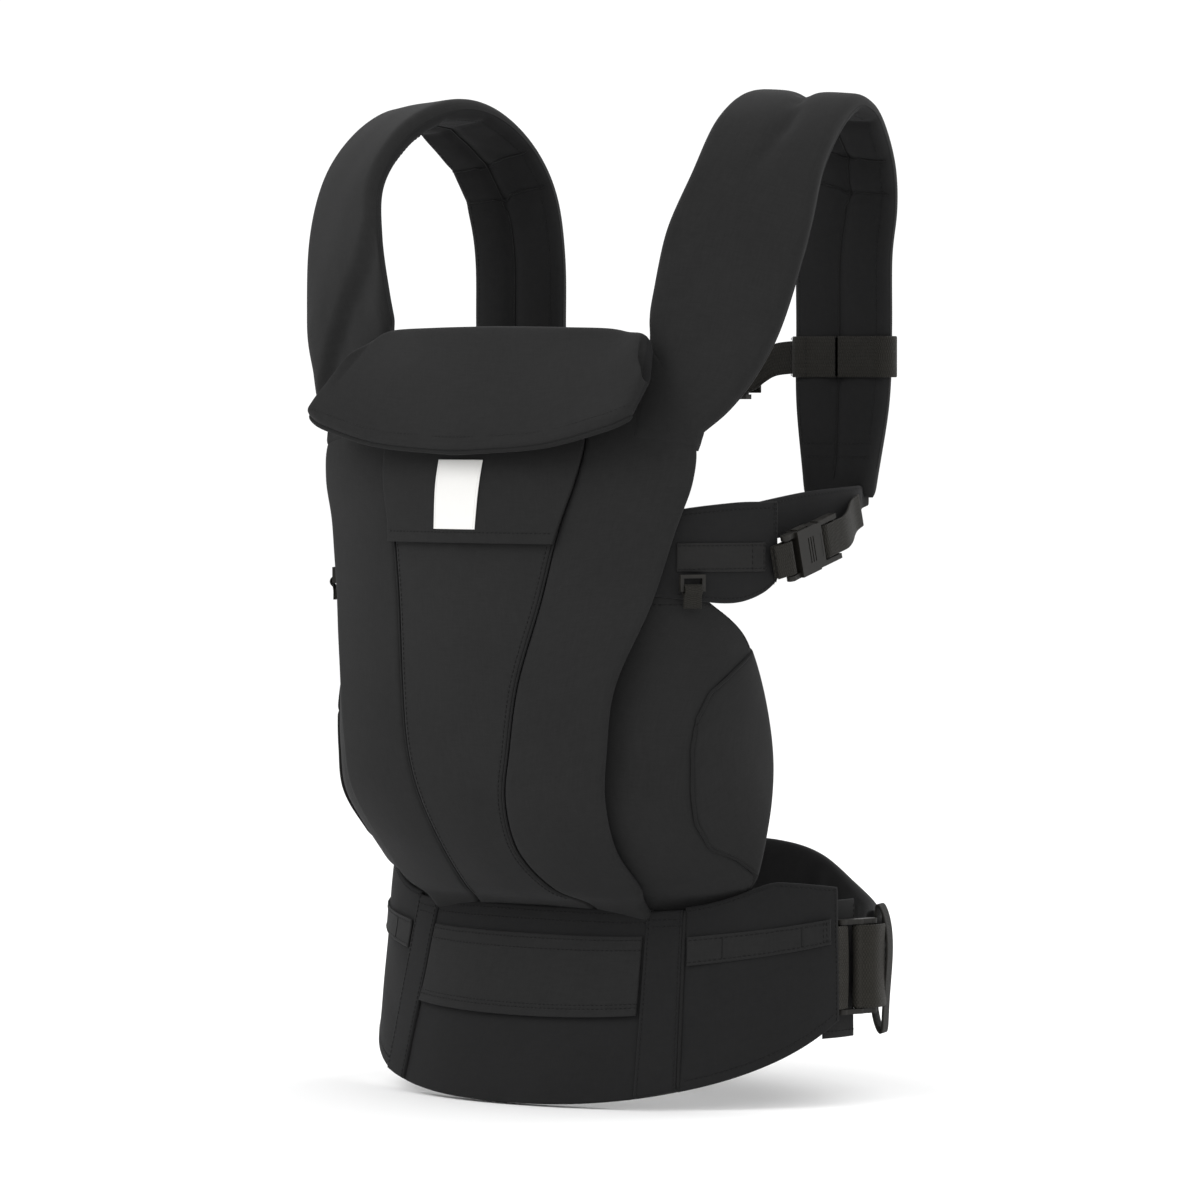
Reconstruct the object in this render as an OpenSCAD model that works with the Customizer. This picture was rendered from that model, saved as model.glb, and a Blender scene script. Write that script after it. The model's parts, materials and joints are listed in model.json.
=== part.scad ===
// Soft structured baby carrier, buckled, in the shape that it takes on a wearer.
// Millimetres. +Z is up, +X is towards the wearer's left and -Y is away from the wearer.
// The origin is the centre of the waist opening, level with the belt's lowest edge.

/* [Waist belt] */
// Half of the belt's outer width, across the hips
hoop_half_w = 172; // [168:1:176]
// Half of the belt's outer depth, from belly to back
hoop_half_d = 118; // [115:1:121]
// Thickness of the belt's padding with its cloth
belt_t = 13; // [11:1:15]
// Width of the waist webbing
waist_web_w = 50; // [44:1:50]

/* [Body panel] */
// Thickness of the body panel's padding
panel_t = 6; // [4:1:8]
// Thickness of the padded leg wings
wing_t = 9; // [7:1:10]

/* [Shoulder straps] */
// Thickness of the padded shoulder straps
strap_t = 14; // [12:1:15]
// Width of the webbing between strap and side buckle
side_web_w = 20; // [20:1:25]

/* [Chest strap] */
// Width of the webbing loops round the shoulder straps
chest_loop_w = 25; // [22:1:28]
// Width of the chest webbing
chest_web_w = 20; // [20:1:25]

/* [Webbing and cloth] */
// Thickness of the webbing
web_t = 1.6; // [1.2:0.1:1.8]
// Thickness of a layer of cloth with its seam allowance
cloth_t = 1.4; // [1:0.1:1.8]

/* [Hidden] */

// Colours
cloth = [0.13, 0.13, 0.13];
lining_cloth = [0.1, 0.1, 0.1];
foam = [0.75, 0.74, 0.7];
webbing = [0.15, 0.14, 0.13];
plastic = [0.09, 0.09, 0.1];
label_white = [0.93, 0.93, 0.92];

// Air between layers that lie on each other
gap = 0.3;

// ---- Body panel: height, half width, edge y and centre y, from the belt up ----
PANEL = [
    [121, 84, -103, -106], [130, 90, -114, -128], [153, 90, -137, -154], [184, 96, -156, -171],
    [214, 100, -160, -176], [255, 105, -158, -175], [302, 120, -143, -168], [345, 131, -134, -164],
    [374, 140, -129, -160], [400, 139, -126, -152], [428, 118, -120, -140], [452, 99, -114, -129]];
// The fold of the head support starts this far up the panel, as a row of PANEL
panel_top_row = len(PANEL) - 1;

// ---- Left shoulder strap: its inner edge and its outer edge, from the panel over the shoulder ----
STRAP_IN = [
    [101, -110, 456], [101, -112, 463], [101, -114, 472], [104, -115, 486], [112, -113, 522],
    [121, -100, 556], [119, -76, 584], [114, -46, 599], [111, -16, 602], [108, 12, 593],
    [103, 34, 573], [97, 44, 546], [92, 45, 508], [92, 45, 465], [92, 45, 421], [97, 45, 374]];
STRAP_OUT = [
    [142, -121, 403], [156, -112, 417], [169, -102, 438], [181, -93, 468], [190, -80, 518],
    [190, -66, 556], [187, -44, 582], [182, -18, 597], [178, 4, 594], [173, 22, 580],
    [168, 37, 560], [164, 44, 536], [160, 45, 508], [160, 45, 465], [158, 45, 421], [149, 45, 374]];

// ---- Left leg wing: front edge behind the panel, rear edge round the leg, and outward bulge ----
LEG_FRONT = [[88, -106, 136], [88, -124, 160], [89, -140, 184], [92, -142, 208], [95, -141, 232],
    [100, -137, 262], [106, -133, 284], [110, -130, 304]];
LEG_REAR = [[139, -62, 137], [142, -60, 160], [145, -59, 184], [145, -58, 208], [144, -61, 232],
    [142, -69, 262], [140, -80, 284], [134, -104, 304]];
LEG_BULGE = [4, 13, 20, 21, 20, 16, 10, 3];
// Seam between the wing's cloth and its rim: row, then how far back it is, from -1 to 1
LEG_SEAM = [[0.1, 0.99], [0.65, 0.55], [0.95, 0.15], [1.6, -0.05], [2.35, -0.12], [3.35, -0.16],
    [4.05, -0.11], [4.55, 0.07], [5.05, 0.56], [5.5, 1]];

// ---- Left side wing under the arm: x, y, lower z and upper z ----
SIDE_WING = [[119, -129.5, 322, 356], [133, -117, 320, 359], [143, -101, 310, 361],
    [149, -88, 304, 362], [154, -75, 308, 362], [157, -66, 316, 362]];
// ---- Left end flap behind the side buckle: x, y, lower z and upper z ----
END_FLAP = [[143, -88, 338, 358], [146, -67, 338, 362], [149, -28, 343, 367], [151, 0, 348, 369],
    [149, 24, 353, 370], [143, 36, 355, 370]];

// ---- Head support, folded down: edge at the fold, free edge, from left to centre ----
FOLD_EDGE = [[0, -131, 463], [50, -128, 462], [90, -122, 459], [109, -136, 449], [118, -150, 430]];
FREE_EDGE = [[0, -170, 390], [62, -167, 394], [105, -164, 403], [118, -161, 408], [123, -158, 412]];

// ---- Lumbar pad: angle from +X, lower z and upper z ----
LUMBAR = [[22, 64, 112], [35, 56, 116], [50, 50, 125], [66, 47, 141], [80, 46, 147], [90, 46, 147]];

// ---- Where the chest buckle and the webbing loops round the straps are ----
chest_y = 45;
chest_z = 436;
loop_z = 448;

// ---- Functions ----
function total(v) = [for (i = v) 1] * v;
function mix(a, b, t) = a + (b - a) * t;
// Point at row t of a table, on a smooth curve through its rows
function row(table, t) =
    let (last = len(table) - 1)
    let (i = min(max(floor(t), 0), last - 1))
    let (f = t - i)
    let (b = table[i], c = table[i + 1])
    let (a = i > 0 ? table[i - 1] : 2 * b - c)
    let (d = i + 2 <= last ? table[i + 2] : 2 * c - b)
    0.5 * (2 * b + (c - a) * f + (2 * a - 5 * b + 4 * c - d) * f * f
        + (3 * b - a - 3 * c + d) * f * f * f);
function steps(a, b, n) = [for (i = [0:n]) mix(a, b, i / n)];
function inner(list) = [for (i = [1:len(list) - 2]) list[i]];
// Point of the surface f(u, v), lifted by h along its normal
function lift(f, u, v, h) =
    let (e = 0.01)
    let (n = cross(f(u + e, v) - f(u - e, v), f(u, v + e) - f(u, v - e)))
    f(u, v) + n / norm(n) * h;
// Thickness share near a rounded edge, for v from -1 to 1
function edge_share(v) = 0.3 + 0.7 * sqrt(max(0, 1 - pow(abs(v), 6)));

// The belt's outer face at angle a from the front, v from -1 at the lower edge to 1 at the upper
function belt_low(a) = 1 + 50 * pow(min(abs(a), 80) / 80, 2.2);
function belt_high(a) = 117 - 3 * exp(-pow((abs(a) - 36) / 9, 2))
    + 18 * pow(min(max((abs(a) - 36) / 22, 0), 1), 1.5) - 4 * max((abs(a) - 60) / 20, 0);
function belt_flare(a) = 17 * pow(cos(min(abs(a), 90)), 1.2);
belt_face = function (a, v)
    [(hoop_half_w - belt_flare(a) * v * 0.6) * sin(a),
     -(hoop_half_d - belt_flare(a) * v) * cos(a),
     mix(belt_low(a), belt_high(a), (v + 1) / 2)];
panel_face = function (t, v)
    let (r = row(PANEL, t))
    [r[1] * v, r[2] + (r[3] - r[2]) * (1 - v * v), r[0]];
strap_face = function (t, v) mix(row(STRAP_IN, t), row(STRAP_OUT, t), (v + 1) / 2);
leg_face = function (t, v)
    let (a = row(LEG_FRONT, t), b = row(LEG_REAR, t), s = (v + 1) / 2)
    let (out = [b[1] - a[1], a[0] - b[0], 0])
    mix(a, b, s) + out / norm(out) * row(LEG_BULGE, t) * 4 * s * (1 - s);
side_wing_face = function (t, v)
    let (r = row(SIDE_WING, t))
    [r[0], r[1], mix(r[2], r[3], (v + 1) / 2)];
end_flap_face = function (t, v)
    let (r = row(END_FLAP, t))
    [r[0], r[1], mix(r[2], r[3], (v + 1) / 2)];
head_face = function (t, v)
    let (side = t < 0 ? -1 : 1)
    let (a = row(FREE_EDGE, abs(t)), b = row(FOLD_EDGE, abs(t)))
    let (p = mix(a, b, (v + 1) / 2))
    [side * p[0], p[1], p[2]];
lumbar_face = function (a, v)
    let (side = a > 90 ? 180 - a : a)
    let (i = lookup(side, [for (k = [0:len(LUMBAR) - 1]) [LUMBAR[k][0], k]]))
    let (r = row(LUMBAR, i))
    [(hoop_half_w - 9) * cos(a), (hoop_half_d - 9) * sin(a), mix(r[1], r[2], (v + 1) / 2)];

// ---- Shapes ----
// Closed loft through rings of the same count, each an upper run and a lower run back
module loft(rings) {
    n = len(rings[0]);
    m = len(rings);
    points = [for (ring = rings) each ring];
    sides = [for (i = [0:m - 2]) for (j = [0:n - 1])
        let (a = i * n + j, b = i * n + (j + 1) % n)
        each [[a, b, a + n], [b, b + n, a + n]]];
    near = [for (j = [0:n / 2 - 2]) let (k = n - 1 - j) each [[j, k, j + 1], [j + 1, k, k - 1]]];
    far = [for (f = near) [for (i = [2:-1:0]) f[i] + (m - 1) * n]];
    faces = concat(sides, near, far);
    volume = total([for (f = faces) points[f[0]] * cross(points[f[1]], points[f[2]])]);
    polyhedron(points, volume < 0 ? faces : [for (f = faces) [f[2], f[1], f[0]]]);
}
// A piece of cloth or padding between two heights over the surface f
module patch(f, us, vs, low, high) {
    back = [for (i = [len(vs) - 1:-1:0]) vs[i]];
    loft([for (u = us) concat(
        [for (v = vs) lift(f, u, v, high * edge_share(v))],
        [for (v = back) lift(f, u, v, low * edge_share(v))])]);
}
// A round cord along points
module piping(points, r) {
    last = len(points) - 1;
    loft([for (i = [0:last])
        let (d = points[min(i + 1, last)] - points[max(i - 1, 0)])
        let (side = cross(d, [0.1, 0.2, 1]), up = cross(side, d))
        [for (k = [0:5]) points[i] + side / norm(side) * r * cos(60 * k + 30)
            + up / norm(up) * r * sin(60 * k + 30)]]);
}
// A flat strip of webbing standing on edge, along a plan path
module strip(path, thick, z, w) {
    last = len(path) - 1;
    normals = [for (i = [0:last])
        let (d = path[min(i + 1, last)] - path[max(i - 1, 0)])
        [-d[1], d[0]] / norm(d)];
    translate([0, 0, z - w / 2])
        linear_extrude(height = w)
            polygon(concat(
                [for (i = [0:last]) path[i] + normals[i] * thick / 2],
                [for (i = [last:-1:0]) path[i] - normals[i] * thick / 2]));
}
// A strip of webbing of width w along points [x, z, y shift], its width along Y
module ribbon(path, w) {
    last = len(path) - 1;
    loft([for (i = [0:last])
        let (d = path[min(i + 1, last)] - path[max(i - 1, 0)])
        let (n = [-d[1], 0, d[0]] / norm([d[0], d[1]]) * web_t / 2)
        let (p = [path[i][0], path[i][2], path[i][1]])
        [p + n + [0, w / 2, 0], p + n - [0, w / 2, 0], p - n - [0, w / 2, 0], p - n + [0, w / 2, 0]]]);
}
function turn(c, r, a, b, n) = [for (i = [0:n]) let (t = mix(a, b, i / n)) c + r * [cos(t), sin(t)]];
module right_side() mirror([1, 0, 0]) children();

// ---- Body panel ----
panel_rows = steps(0, panel_top_row, 22);
panel_columns = [-1, -0.93, -0.8, -0.6, -0.4, -0.2, 0, 0.2, 0.4, 0.6, 0.8, 0.93, 1];
module front_panel() color(cloth)
    patch(panel_face, panel_rows, panel_columns, 0, panel_t);
module panel_lining() color(lining_cloth)
    patch(panel_face, inner(panel_rows), inner(panel_columns),
        panel_t + 2 * gap, panel_t + 2 * gap + cloth_t);
module centre_tab() color(cloth)
    patch(panel_face, steps(6.75, 9.25, 5), steps(-0.47, 0.47, 6), -2 * gap - cloth_t, -2 * gap);
// The label's width, how far it is off the middle, and the panel rows it spans
label_w = 33;
label_x = -7;
label_rows = [7, 8.43];
panel_half_at_label = 137;
module label_patch() color(label_white)
    patch(panel_face, steps(label_rows[0], label_rows[1], 3),
        steps((label_x - label_w / 2) / panel_half_at_label, (label_x + label_w / 2) / panel_half_at_label, 3),
        -gap * 3 - cloth_t - 0.6, -gap * 3 - cloth_t);

// ---- Head support ----
head_steps = steps(-4, 4, 20);
module head_support() color(cloth)
    patch(head_face, head_steps, steps(-1, 1, 6), -1, 11);
module head_support_piping() color(cloth)
    piping([for (t = head_steps) lift(head_face, t, -1.02, 5) + [0, -0.5, -2.6]], 1.8);

// ---- Leg wings and side wings ----
function seam(t) = t > 5.5 ? 1 : lookup(t, LEG_SEAM);
leg_cloth_face = function (t, v) leg_face(t, mix(-1, seam(t) - (t < 5.5 ? 0.02 : 0), (v + 1) / 2));
leg_rim_face = function (t, v) leg_face(t, mix(seam(t) + 0.02, 1, (v + 1) / 2));
leg_rows = len(LEG_FRONT) - 1;
module leg_wing() color(cloth)
    patch(leg_cloth_face, steps(0, leg_rows, 16), steps(-1, 1, 6), -wing_t / 2, wing_t / 2);
module leg_rim() color(cloth) {
    patch(leg_rim_face, steps(0.3, 5.3, 14), steps(-1, 1, 4), -wing_t / 2 - 1, wing_t / 2);
    piping([for (t = steps(0.35, 5.25, 16)) lift(leg_face, t, seam(t) + 0.05, -wing_t / 2 - 0.9)], 1.2);
}
module side_wing() color(cloth)
    patch(side_wing_face, steps(0, 5, 10), steps(-1, 1, 4), -2.5, 2.5);
// Webbing sewn along the wing, then looped through the side buckle's socket
band_face = function (t, v)
    let (r = row(SIDE_WING, t))
    [r[0], r[1], 329.5 + v * 17];
module wing_webbing() color(webbing) {
    patch(band_face, steps(0.5, 4.5, 8), [-0.5, 0, 0.5], 2.5 + 2 * gap, 2.5 + 2 * gap + web_t);
    at_side() ribbon(socket_turn(side_web_w, -3.4), side_web_w);
}

// ---- Shoulder straps ----
strap_rows = len(STRAP_IN) - 1;
strap_lines = steps(0, strap_rows, 38);
strap_columns = [-1, -0.9, -0.6, 0, 0.6, 0.9, 1];
foam_h = strap_t / 2 - cloth_t - 2 * gap;
module strap_cover() color(cloth)
    patch(strap_face, strap_lines, strap_columns, -strap_t / 2, -foam_h - 2 * gap);
module strap_foam() color(foam)
    patch(strap_face, inner(strap_lines), inner(strap_columns), -foam_h, foam_h);
module strap_lining() color(lining_cloth)
    patch(strap_face, strap_lines, strap_columns, foam_h + 2 * gap, strap_t / 2);
module strap_end_flap() color(cloth)
    patch(end_flap_face, steps(0, 5, 12), steps(-1, 1, 3), -2, 2);

// ---- Waist belt ----
front_edge_a = 29;
strip_edge_a = 38;
belt_end_a = 80;
belt_columns = [-1, -0.93, -0.8, -0.4, 0.1, 0.6, 0.8, 0.93, 1];
foam_angles = steps(-belt_end_a, belt_end_a, 36);
module belt_front() color(cloth) {
    patch(belt_face, steps(-strip_edge_a, strip_edge_a, 18), belt_columns, -cloth_t, 0);
    belt_strip();
    right_side() belt_strip();
}
module belt_side() color(cloth) {
    patch(belt_face, steps(strip_edge_a + 0.4, belt_end_a, 10), belt_columns, -cloth_t, 0);
    pocket_band();
    tongue();
}
module belt_foam() color(foam)
    patch(belt_face, inner(foam_angles), inner(belt_columns), 2 * gap + cloth_t - belt_t,
        -cloth_t - 2 * gap);
// Each side's cloth turns in round the belt's end and goes on behind the adjuster
tongue_face = function (a, v)
    let (off = belt_t - cloth_t / 2)
    [(hoop_half_w - off) * sin(a), -(hoop_half_d - off) * cos(a), mix(39, 122, (v + 1) / 2)];
module tongue() patch(tongue_face, steps(belt_end_a + 1.4, 95, 5), steps(-1, 1, 3), -cloth_t / 2, cloth_t / 2);
module belt_lining() color(lining_cloth)
    patch(belt_face, foam_angles, belt_columns, -belt_t, -belt_t + cloth_t);
module belt_flap() color(cloth)
    patch(belt_face, steps(-front_edge_a + 1, front_edge_a - 1, 12), steps(-0.12, 0.72, 3),
        2 * gap, 2 * gap + cloth_t);
module belt_strip()
    patch(belt_face, steps(front_edge_a, strip_edge_a - 0.5, 3), steps(-0.99, 0.97, 5),
        -cloth_t / 2, cloth_t);
module pocket_band()
    patch(belt_face, steps(strip_edge_a + 1.5, belt_end_a - 3, 9), steps(0.3, 0.6, 2),
        -cloth_t / 2, cloth_t);
module lumbar_pad() color(cloth)
    patch(lumbar_face, steps(22, 158, 30), steps(-1, 1, 5), -5, 5);

// ---- Waist webbing, its adjusters and the safety loop ----
web_z = 82;
buckle_y = 122;
buckle_x = 9;
function hoop(a) = [hoop_half_w * cos(a), hoop_half_d * sin(a)];
// The adjuster's bars: the belt's tab turns round the front one, the webbing round the middle one
bar_front = [164.5, -10];
bar_middle = [168, 1.5];
bar_rear = [170, 12.5];
bar_r = 1.8;
turn_r = bar_r + gap + web_t / 2;
// Round the back outside the lumbar pad, then forward to the adjuster and back inside it
hip_path = concat([for (a = [66:-6:18]) hoop(a)],
    [[171, 26], [175.3, 17], [176, 8]], turn(bar_middle, turn_r, 0, -180, 8),
    [[165.3, 9], [166, 17]]);
// From the plug's ladder lock, or from the socket's bar, to the back of the hoop
plug_path = concat([[buckle_x + 34, buckle_y + 3.4]], plug_turn_plan(buckle_x + 12.5),
    [[buckle_x + 21.5, buckle_y - turn_r], [buckle_x + 34, buckle_y - 3.6], [56, 115]]);
socket_x = socket_l(waist_web_w) - 2 - buckle_x;
socket_path = concat([[socket_x + 16, buckle_y + 0.4], [socket_x + 8, buckle_y + 1.3]],
    plug_turn_plan(socket_x), [[socket_x + 8, buckle_y - 1.6], [socket_x + 16, buckle_y - 2.8], [58, 114.2]]);
function plug_turn_plan(x) = turn([x, buckle_y], turn_r, 90, 270, 8);
module tab() strip(concat([[167.4, -17.5]], turn(bar_front, turn_r, 0, 180, 8),
    [[161.8, -17.5]]), web_t, web_z, waist_web_w);
module waist_webbing(path) color(webbing) {
    strip(concat(path, hip_path), web_t, web_z, waist_web_w);
    tab();
}
module adjuster() color(plastic) {
    for (s = [-1, 1])
        translate([0, 0, web_z + s * (waist_web_w / 2 + 2) - 1.5])
            linear_extrude(height = 3)
                union() {
                    for (p = [bar_front, bar_middle, bar_rear])
                        translate(p) circle(r = 3.6, $fn = 32);
                    for (p = [[bar_front, bar_middle], [bar_middle, bar_rear]])
                        let (d = p[1] - p[0], n = [-d[1], d[0]] / norm(d) * 3)
                        polygon([p[0] + n, p[1] + n, p[1] - n, p[0] - n]);
                }
    for (p = [bar_front, bar_middle, bar_rear])
        translate([p[0], p[1], web_z])
            cylinder(r = bar_r, h = waist_web_w + 5, center = true, $fn = 24);
}
// An elastic ring round the webbing, longer than the webbing is wide
module safety_loop() color(webbing)
    translate([169.8, 28.6, 79])
        rotate([0, 0, 24])
            rotate([90, 0, 0])
                linear_extrude(height = 13, center = true)
                    difference() {
                        scale([0.14, 1]) circle(r = 39.5, $fn = 40);
                        scale([0.11, 1]) circle(r = 37.8, $fn = 40);
                    }

// ---- Side-release buckles ----
// Local frame: +X is the way the plug leaves, Y is the width and Z the thickness.
// w is the webbing's width. The socket's mouth is at x = 0.
function buckle_w(w) = w + 8;
function buckle_t(w) = 6 + w * 0.14;
function socket_l(w) = 17 + w * 0.5;
wall = 1.6;
ladder_x = [12.5, 21.5];
module box(lo, hi) translate(lo) cube(hi - lo);
module bar(x, w) translate([x, 0, 0]) rotate([90, 0, 0]) cylinder(r = bar_r, h = w + 4, center = true, $fn = 24);
// The webbing's way round the socket's bar, and round the plug's ladder lock
function lift_turn(x, a, b) = [for (p = turn([x, 0], turn_r, a, b, 8)) [p[0], p[1], 0]];
function socket_turn(w, side) = let (x = -socket_l(w) + 2) concat(
    [[x - 11, side, 0], [x - 5, side * 0.9, 0]], lift_turn(x, -90, 90),
    [[x - 5, 1.1, 0], [x - 11, side + 2.2, 0]]);
function ladder_turn() = concat([[30, -3.6, 0], [ladder_x[1], -turn_r, 0]],
    lift_turn(ladder_x[0], 270, 90), [[ladder_x[1], turn_r, 0]]);
module socket(w) color(plastic) {
    bw = buckle_w(w) / 2;
    bt = buckle_t(w) / 2;
    l = socket_l(w);
    difference() {
        union() {
            box([-l + 8.5, -bw, -bt], [0, bw, bt]);
            for (s = [-1, 1])
                translate([-l + 2, s * (bw - 1.6), 0]) rotate([90, 0, 0])
                    cylinder(r = 3, h = 3, center = true, $fn = 32);
            for (s = [-1, 1])
                box([-l + 2, s * (bw - 1.6) - 1.5, -2.6], [-l + 9, s * (bw - 1.6) + 1.5, 2.6]);
        }
        box([-l + 10, -bw + wall, -bt + wall], [1, bw - wall, bt - wall]);
        // Windows that the arms' buttons look out of
        for (s = [-1, 1])
            box([-l * 0.62, s * bw - 3, -bt + wall * 0.6], [-l * 0.2, s * bw + 3, bt - wall * 0.6]);
        // Grooves across both faces
        for (s = [-1, 1]) for (k = [0:2])
            translate([-4 - 2.4 * k, 0, s * bt])
                cube([0.9, bw * 1.1, 0.8], center = true);
    }
    bar(-l + 2, w);
}
module plug(w) color(plastic) {
    bw = buckle_w(w) / 2;
    bt = buckle_t(w) / 2;
    l = socket_l(w);
    difference() {
        union() {
            box([0.4, -bw + 0.6, -bt + 0.4], [6, bw - 0.6, bt - 0.4]);
            // Middle tongue
            box([-l * 0.5, -w * 0.09, -bt + wall + 0.4], [1, w * 0.09, bt - wall - 0.4]);
            // Rails of the ladder lock
            for (s = [-1, 1])
                box([5, s * (bw - 1.6) - 1.5, -2.8], [23.6, s * (bw - 1.6) + 1.5, 2.8]);
        }
        // Finger scoop on both faces
        for (s = [-1, 1])
            translate([3, 0, s * (bt + 1)])
                cube([2.6, bw, 3], center = true);
    }
    for (x = ladder_x) bar(x, w);
}
// One spring arm with its button, on the +Y side
module arm(w) color(plastic) {
    bw = buckle_w(w) / 2;
    h = buckle_t(w) / 2 - wall - 0.4;
    l = socket_l(w);
    y1 = bw - wall - 0.4;
    box([-l * 0.3, y1 - 2, -h], [-0.1, y1, h]);
    box([-l * 0.6, y1 - 2.6, -h], [-l * 0.3, y1, h]);
    box([-l * 0.6 + 0.4, y1 - 1, -h], [-l * 0.24, bw + 0.8, h]);
}
module lower() mirror([0, 1, 0]) children();

// Where each buckle sits
side_tilt = 15;
module at_side() translate([164.5, -40, 335]) rotate([side_tilt, 0, 0])
    rotate([0, 0, 90]) rotate([90, 0, 0]) children();
module at_chest() translate([30, chest_y, chest_z]) rotate([90, 0, 0]) children();
module at_waist() translate([buckle_x, buckle_y, web_z]) rotate([90, 0, 0]) children();

// Webbing from the strap's end flap down to the side buckle's ladder lock
module side_webbing() color(webbing)
    at_side() ribbon(concat(ladder_turn(), [[31, 2.4, 0], [40, -0.5, 1], [50, -5.5, 2.5], [58, -9, 3], [66, -10.4, 3.5]]), side_web_w);

// ---- Chest strap ----
loop_r = strap_t / 2 + 0.9;
loop_x = [98.5, 153.8];
module chest_loop() color(webbing)
    translate([0, chest_y, loop_z])
        linear_extrude(height = chest_loop_w, center = true)
            difference() {
                hull() for (x = loop_x) translate([x, 0]) circle(r = loop_r + web_t, $fn = 32);
                hull() for (x = loop_x) translate([x, 0]) circle(r = loop_r, $fn = 32);
            }
module chest_webbing_left() color(webbing)
    at_chest() ribbon(concat(ladder_turn(), [[30, 2, 2], [37, 0.4, 7], [45, 0, 10.5], [58.4, 0, 12]]), chest_web_w);
module chest_webbing_right() color(webbing)
    at_chest() ribbon(concat(
        [[-115, 0, 12], [-95, 0, 9.5], [-70, 0, 4], [-50, 0, 0.5], [-socket_l(chest_web_w) - 5, 1.4, 0]],
        lift_turn(-socket_l(chest_web_w) + 2, 90, -90),
        [[-socket_l(chest_web_w) - 4, -2, 0], [-socket_l(chest_web_w) - 14, -1.9, 0.2]]), chest_web_w);

// ---- Seat tabs ----
module at_ring() translate([137, -122, 314.5]) rotate([0, 0, 60]) children();
module seat_ring() color(plastic)
    at_ring() rotate([90, 0, 0])
        difference() {
            cube([16, 10, 2.4], center = true);
            cube([11.6, 5.6, 5], center = true);
        }
module seat_tab() color(webbing)
    at_ring() rotate([0, 90, 0]) rotate([0, 0, 90])
        linear_extrude(height = 10, center = true)
            difference() {
                union() {
                    translate([0, -3.9]) circle(r = 3.4, $fn = 24);
                    translate([-0.8, -9.6]) square([1.6, 5.6]);
                }
                translate([0, -3.9]) circle(r = 2.2, $fn = 24);
            }

front_panel();
panel_lining();
centre_tab();
label_patch();
head_support();
head_support_piping();
leg_wing();  // leg_wing_left
right_side() leg_wing();  // leg_wing_right
leg_rim();  // leg_rim_left
right_side() leg_rim();  // leg_rim_right
side_wing();  // side_wing_left
right_side() side_wing();  // side_wing_right
wing_webbing();  // wing_webbing_left
right_side() wing_webbing();  // wing_webbing_right
strap_cover();  // strap_cover_left
right_side() strap_cover();  // strap_cover_right
strap_foam();  // strap_foam_left
right_side() strap_foam();  // strap_foam_right
strap_lining();  // strap_lining_left
right_side() strap_lining();  // strap_lining_right
strap_end_flap();  // strap_end_flap_left
right_side() strap_end_flap();  // strap_end_flap_right
belt_front();
belt_flap();
belt_side();  // belt_side_left
right_side() belt_side();  // belt_side_right
belt_foam();
belt_lining();
lumbar_pad();
waist_webbing(plug_path);  // waist_webbing_left
right_side() waist_webbing(socket_path);  // waist_webbing_right
safety_loop();
adjuster();  // waist_adjuster_left
right_side() adjuster();  // waist_adjuster_right
at_waist() socket(waist_web_w);  // waist_buckle_socket
at_waist() plug(waist_web_w);  // waist_buckle_plug
at_waist() arm(waist_web_w);  // waist_buckle_arm_upper
at_waist() lower() arm(waist_web_w);  // waist_buckle_arm_lower
at_side() socket(side_web_w);  // side_buckle_socket_left
right_side() at_side() socket(side_web_w);  // side_buckle_socket_right
at_side() plug(side_web_w);  // side_buckle_plug_left
right_side() at_side() plug(side_web_w);  // side_buckle_plug_right
at_side() arm(side_web_w);  // side_buckle_arm_upper_left
at_side() lower() arm(side_web_w);  // side_buckle_arm_lower_left
right_side() at_side() arm(side_web_w);  // side_buckle_arm_upper_right
right_side() at_side() lower() arm(side_web_w);  // side_buckle_arm_lower_right
side_webbing();  // side_webbing_left
right_side() side_webbing();  // side_webbing_right
chest_loop();  // chest_loop_left
right_side() chest_loop();  // chest_loop_right
chest_webbing_left();
chest_webbing_right();
at_chest() socket(chest_web_w);  // chest_buckle_socket
at_chest() plug(chest_web_w);  // chest_buckle_plug
at_chest() arm(chest_web_w);  // chest_buckle_arm_upper
at_chest() lower() arm(chest_web_w);  // chest_buckle_arm_lower
seat_ring();  // seat_ring_left
right_side() seat_ring();  // seat_ring_right
seat_tab();  // seat_tab_left
right_side() seat_tab();  // seat_tab_right
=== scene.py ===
"""Soft structured baby carrier, dressed for rendering.

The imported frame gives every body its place. Each sub-assembly below is a class that
holds its sizes in millimetres, builds its own meshes, and dresses them in its finish.
"""
import json
import logging
import math
from abc import ABC, abstractmethod
from dataclasses import dataclass, replace
from enum import Enum
from typing import Callable, Sequence

import bpy
import numpy as np
from mathutils import Matrix, Vector
from mathutils.bvhtree import BVHTree

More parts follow.
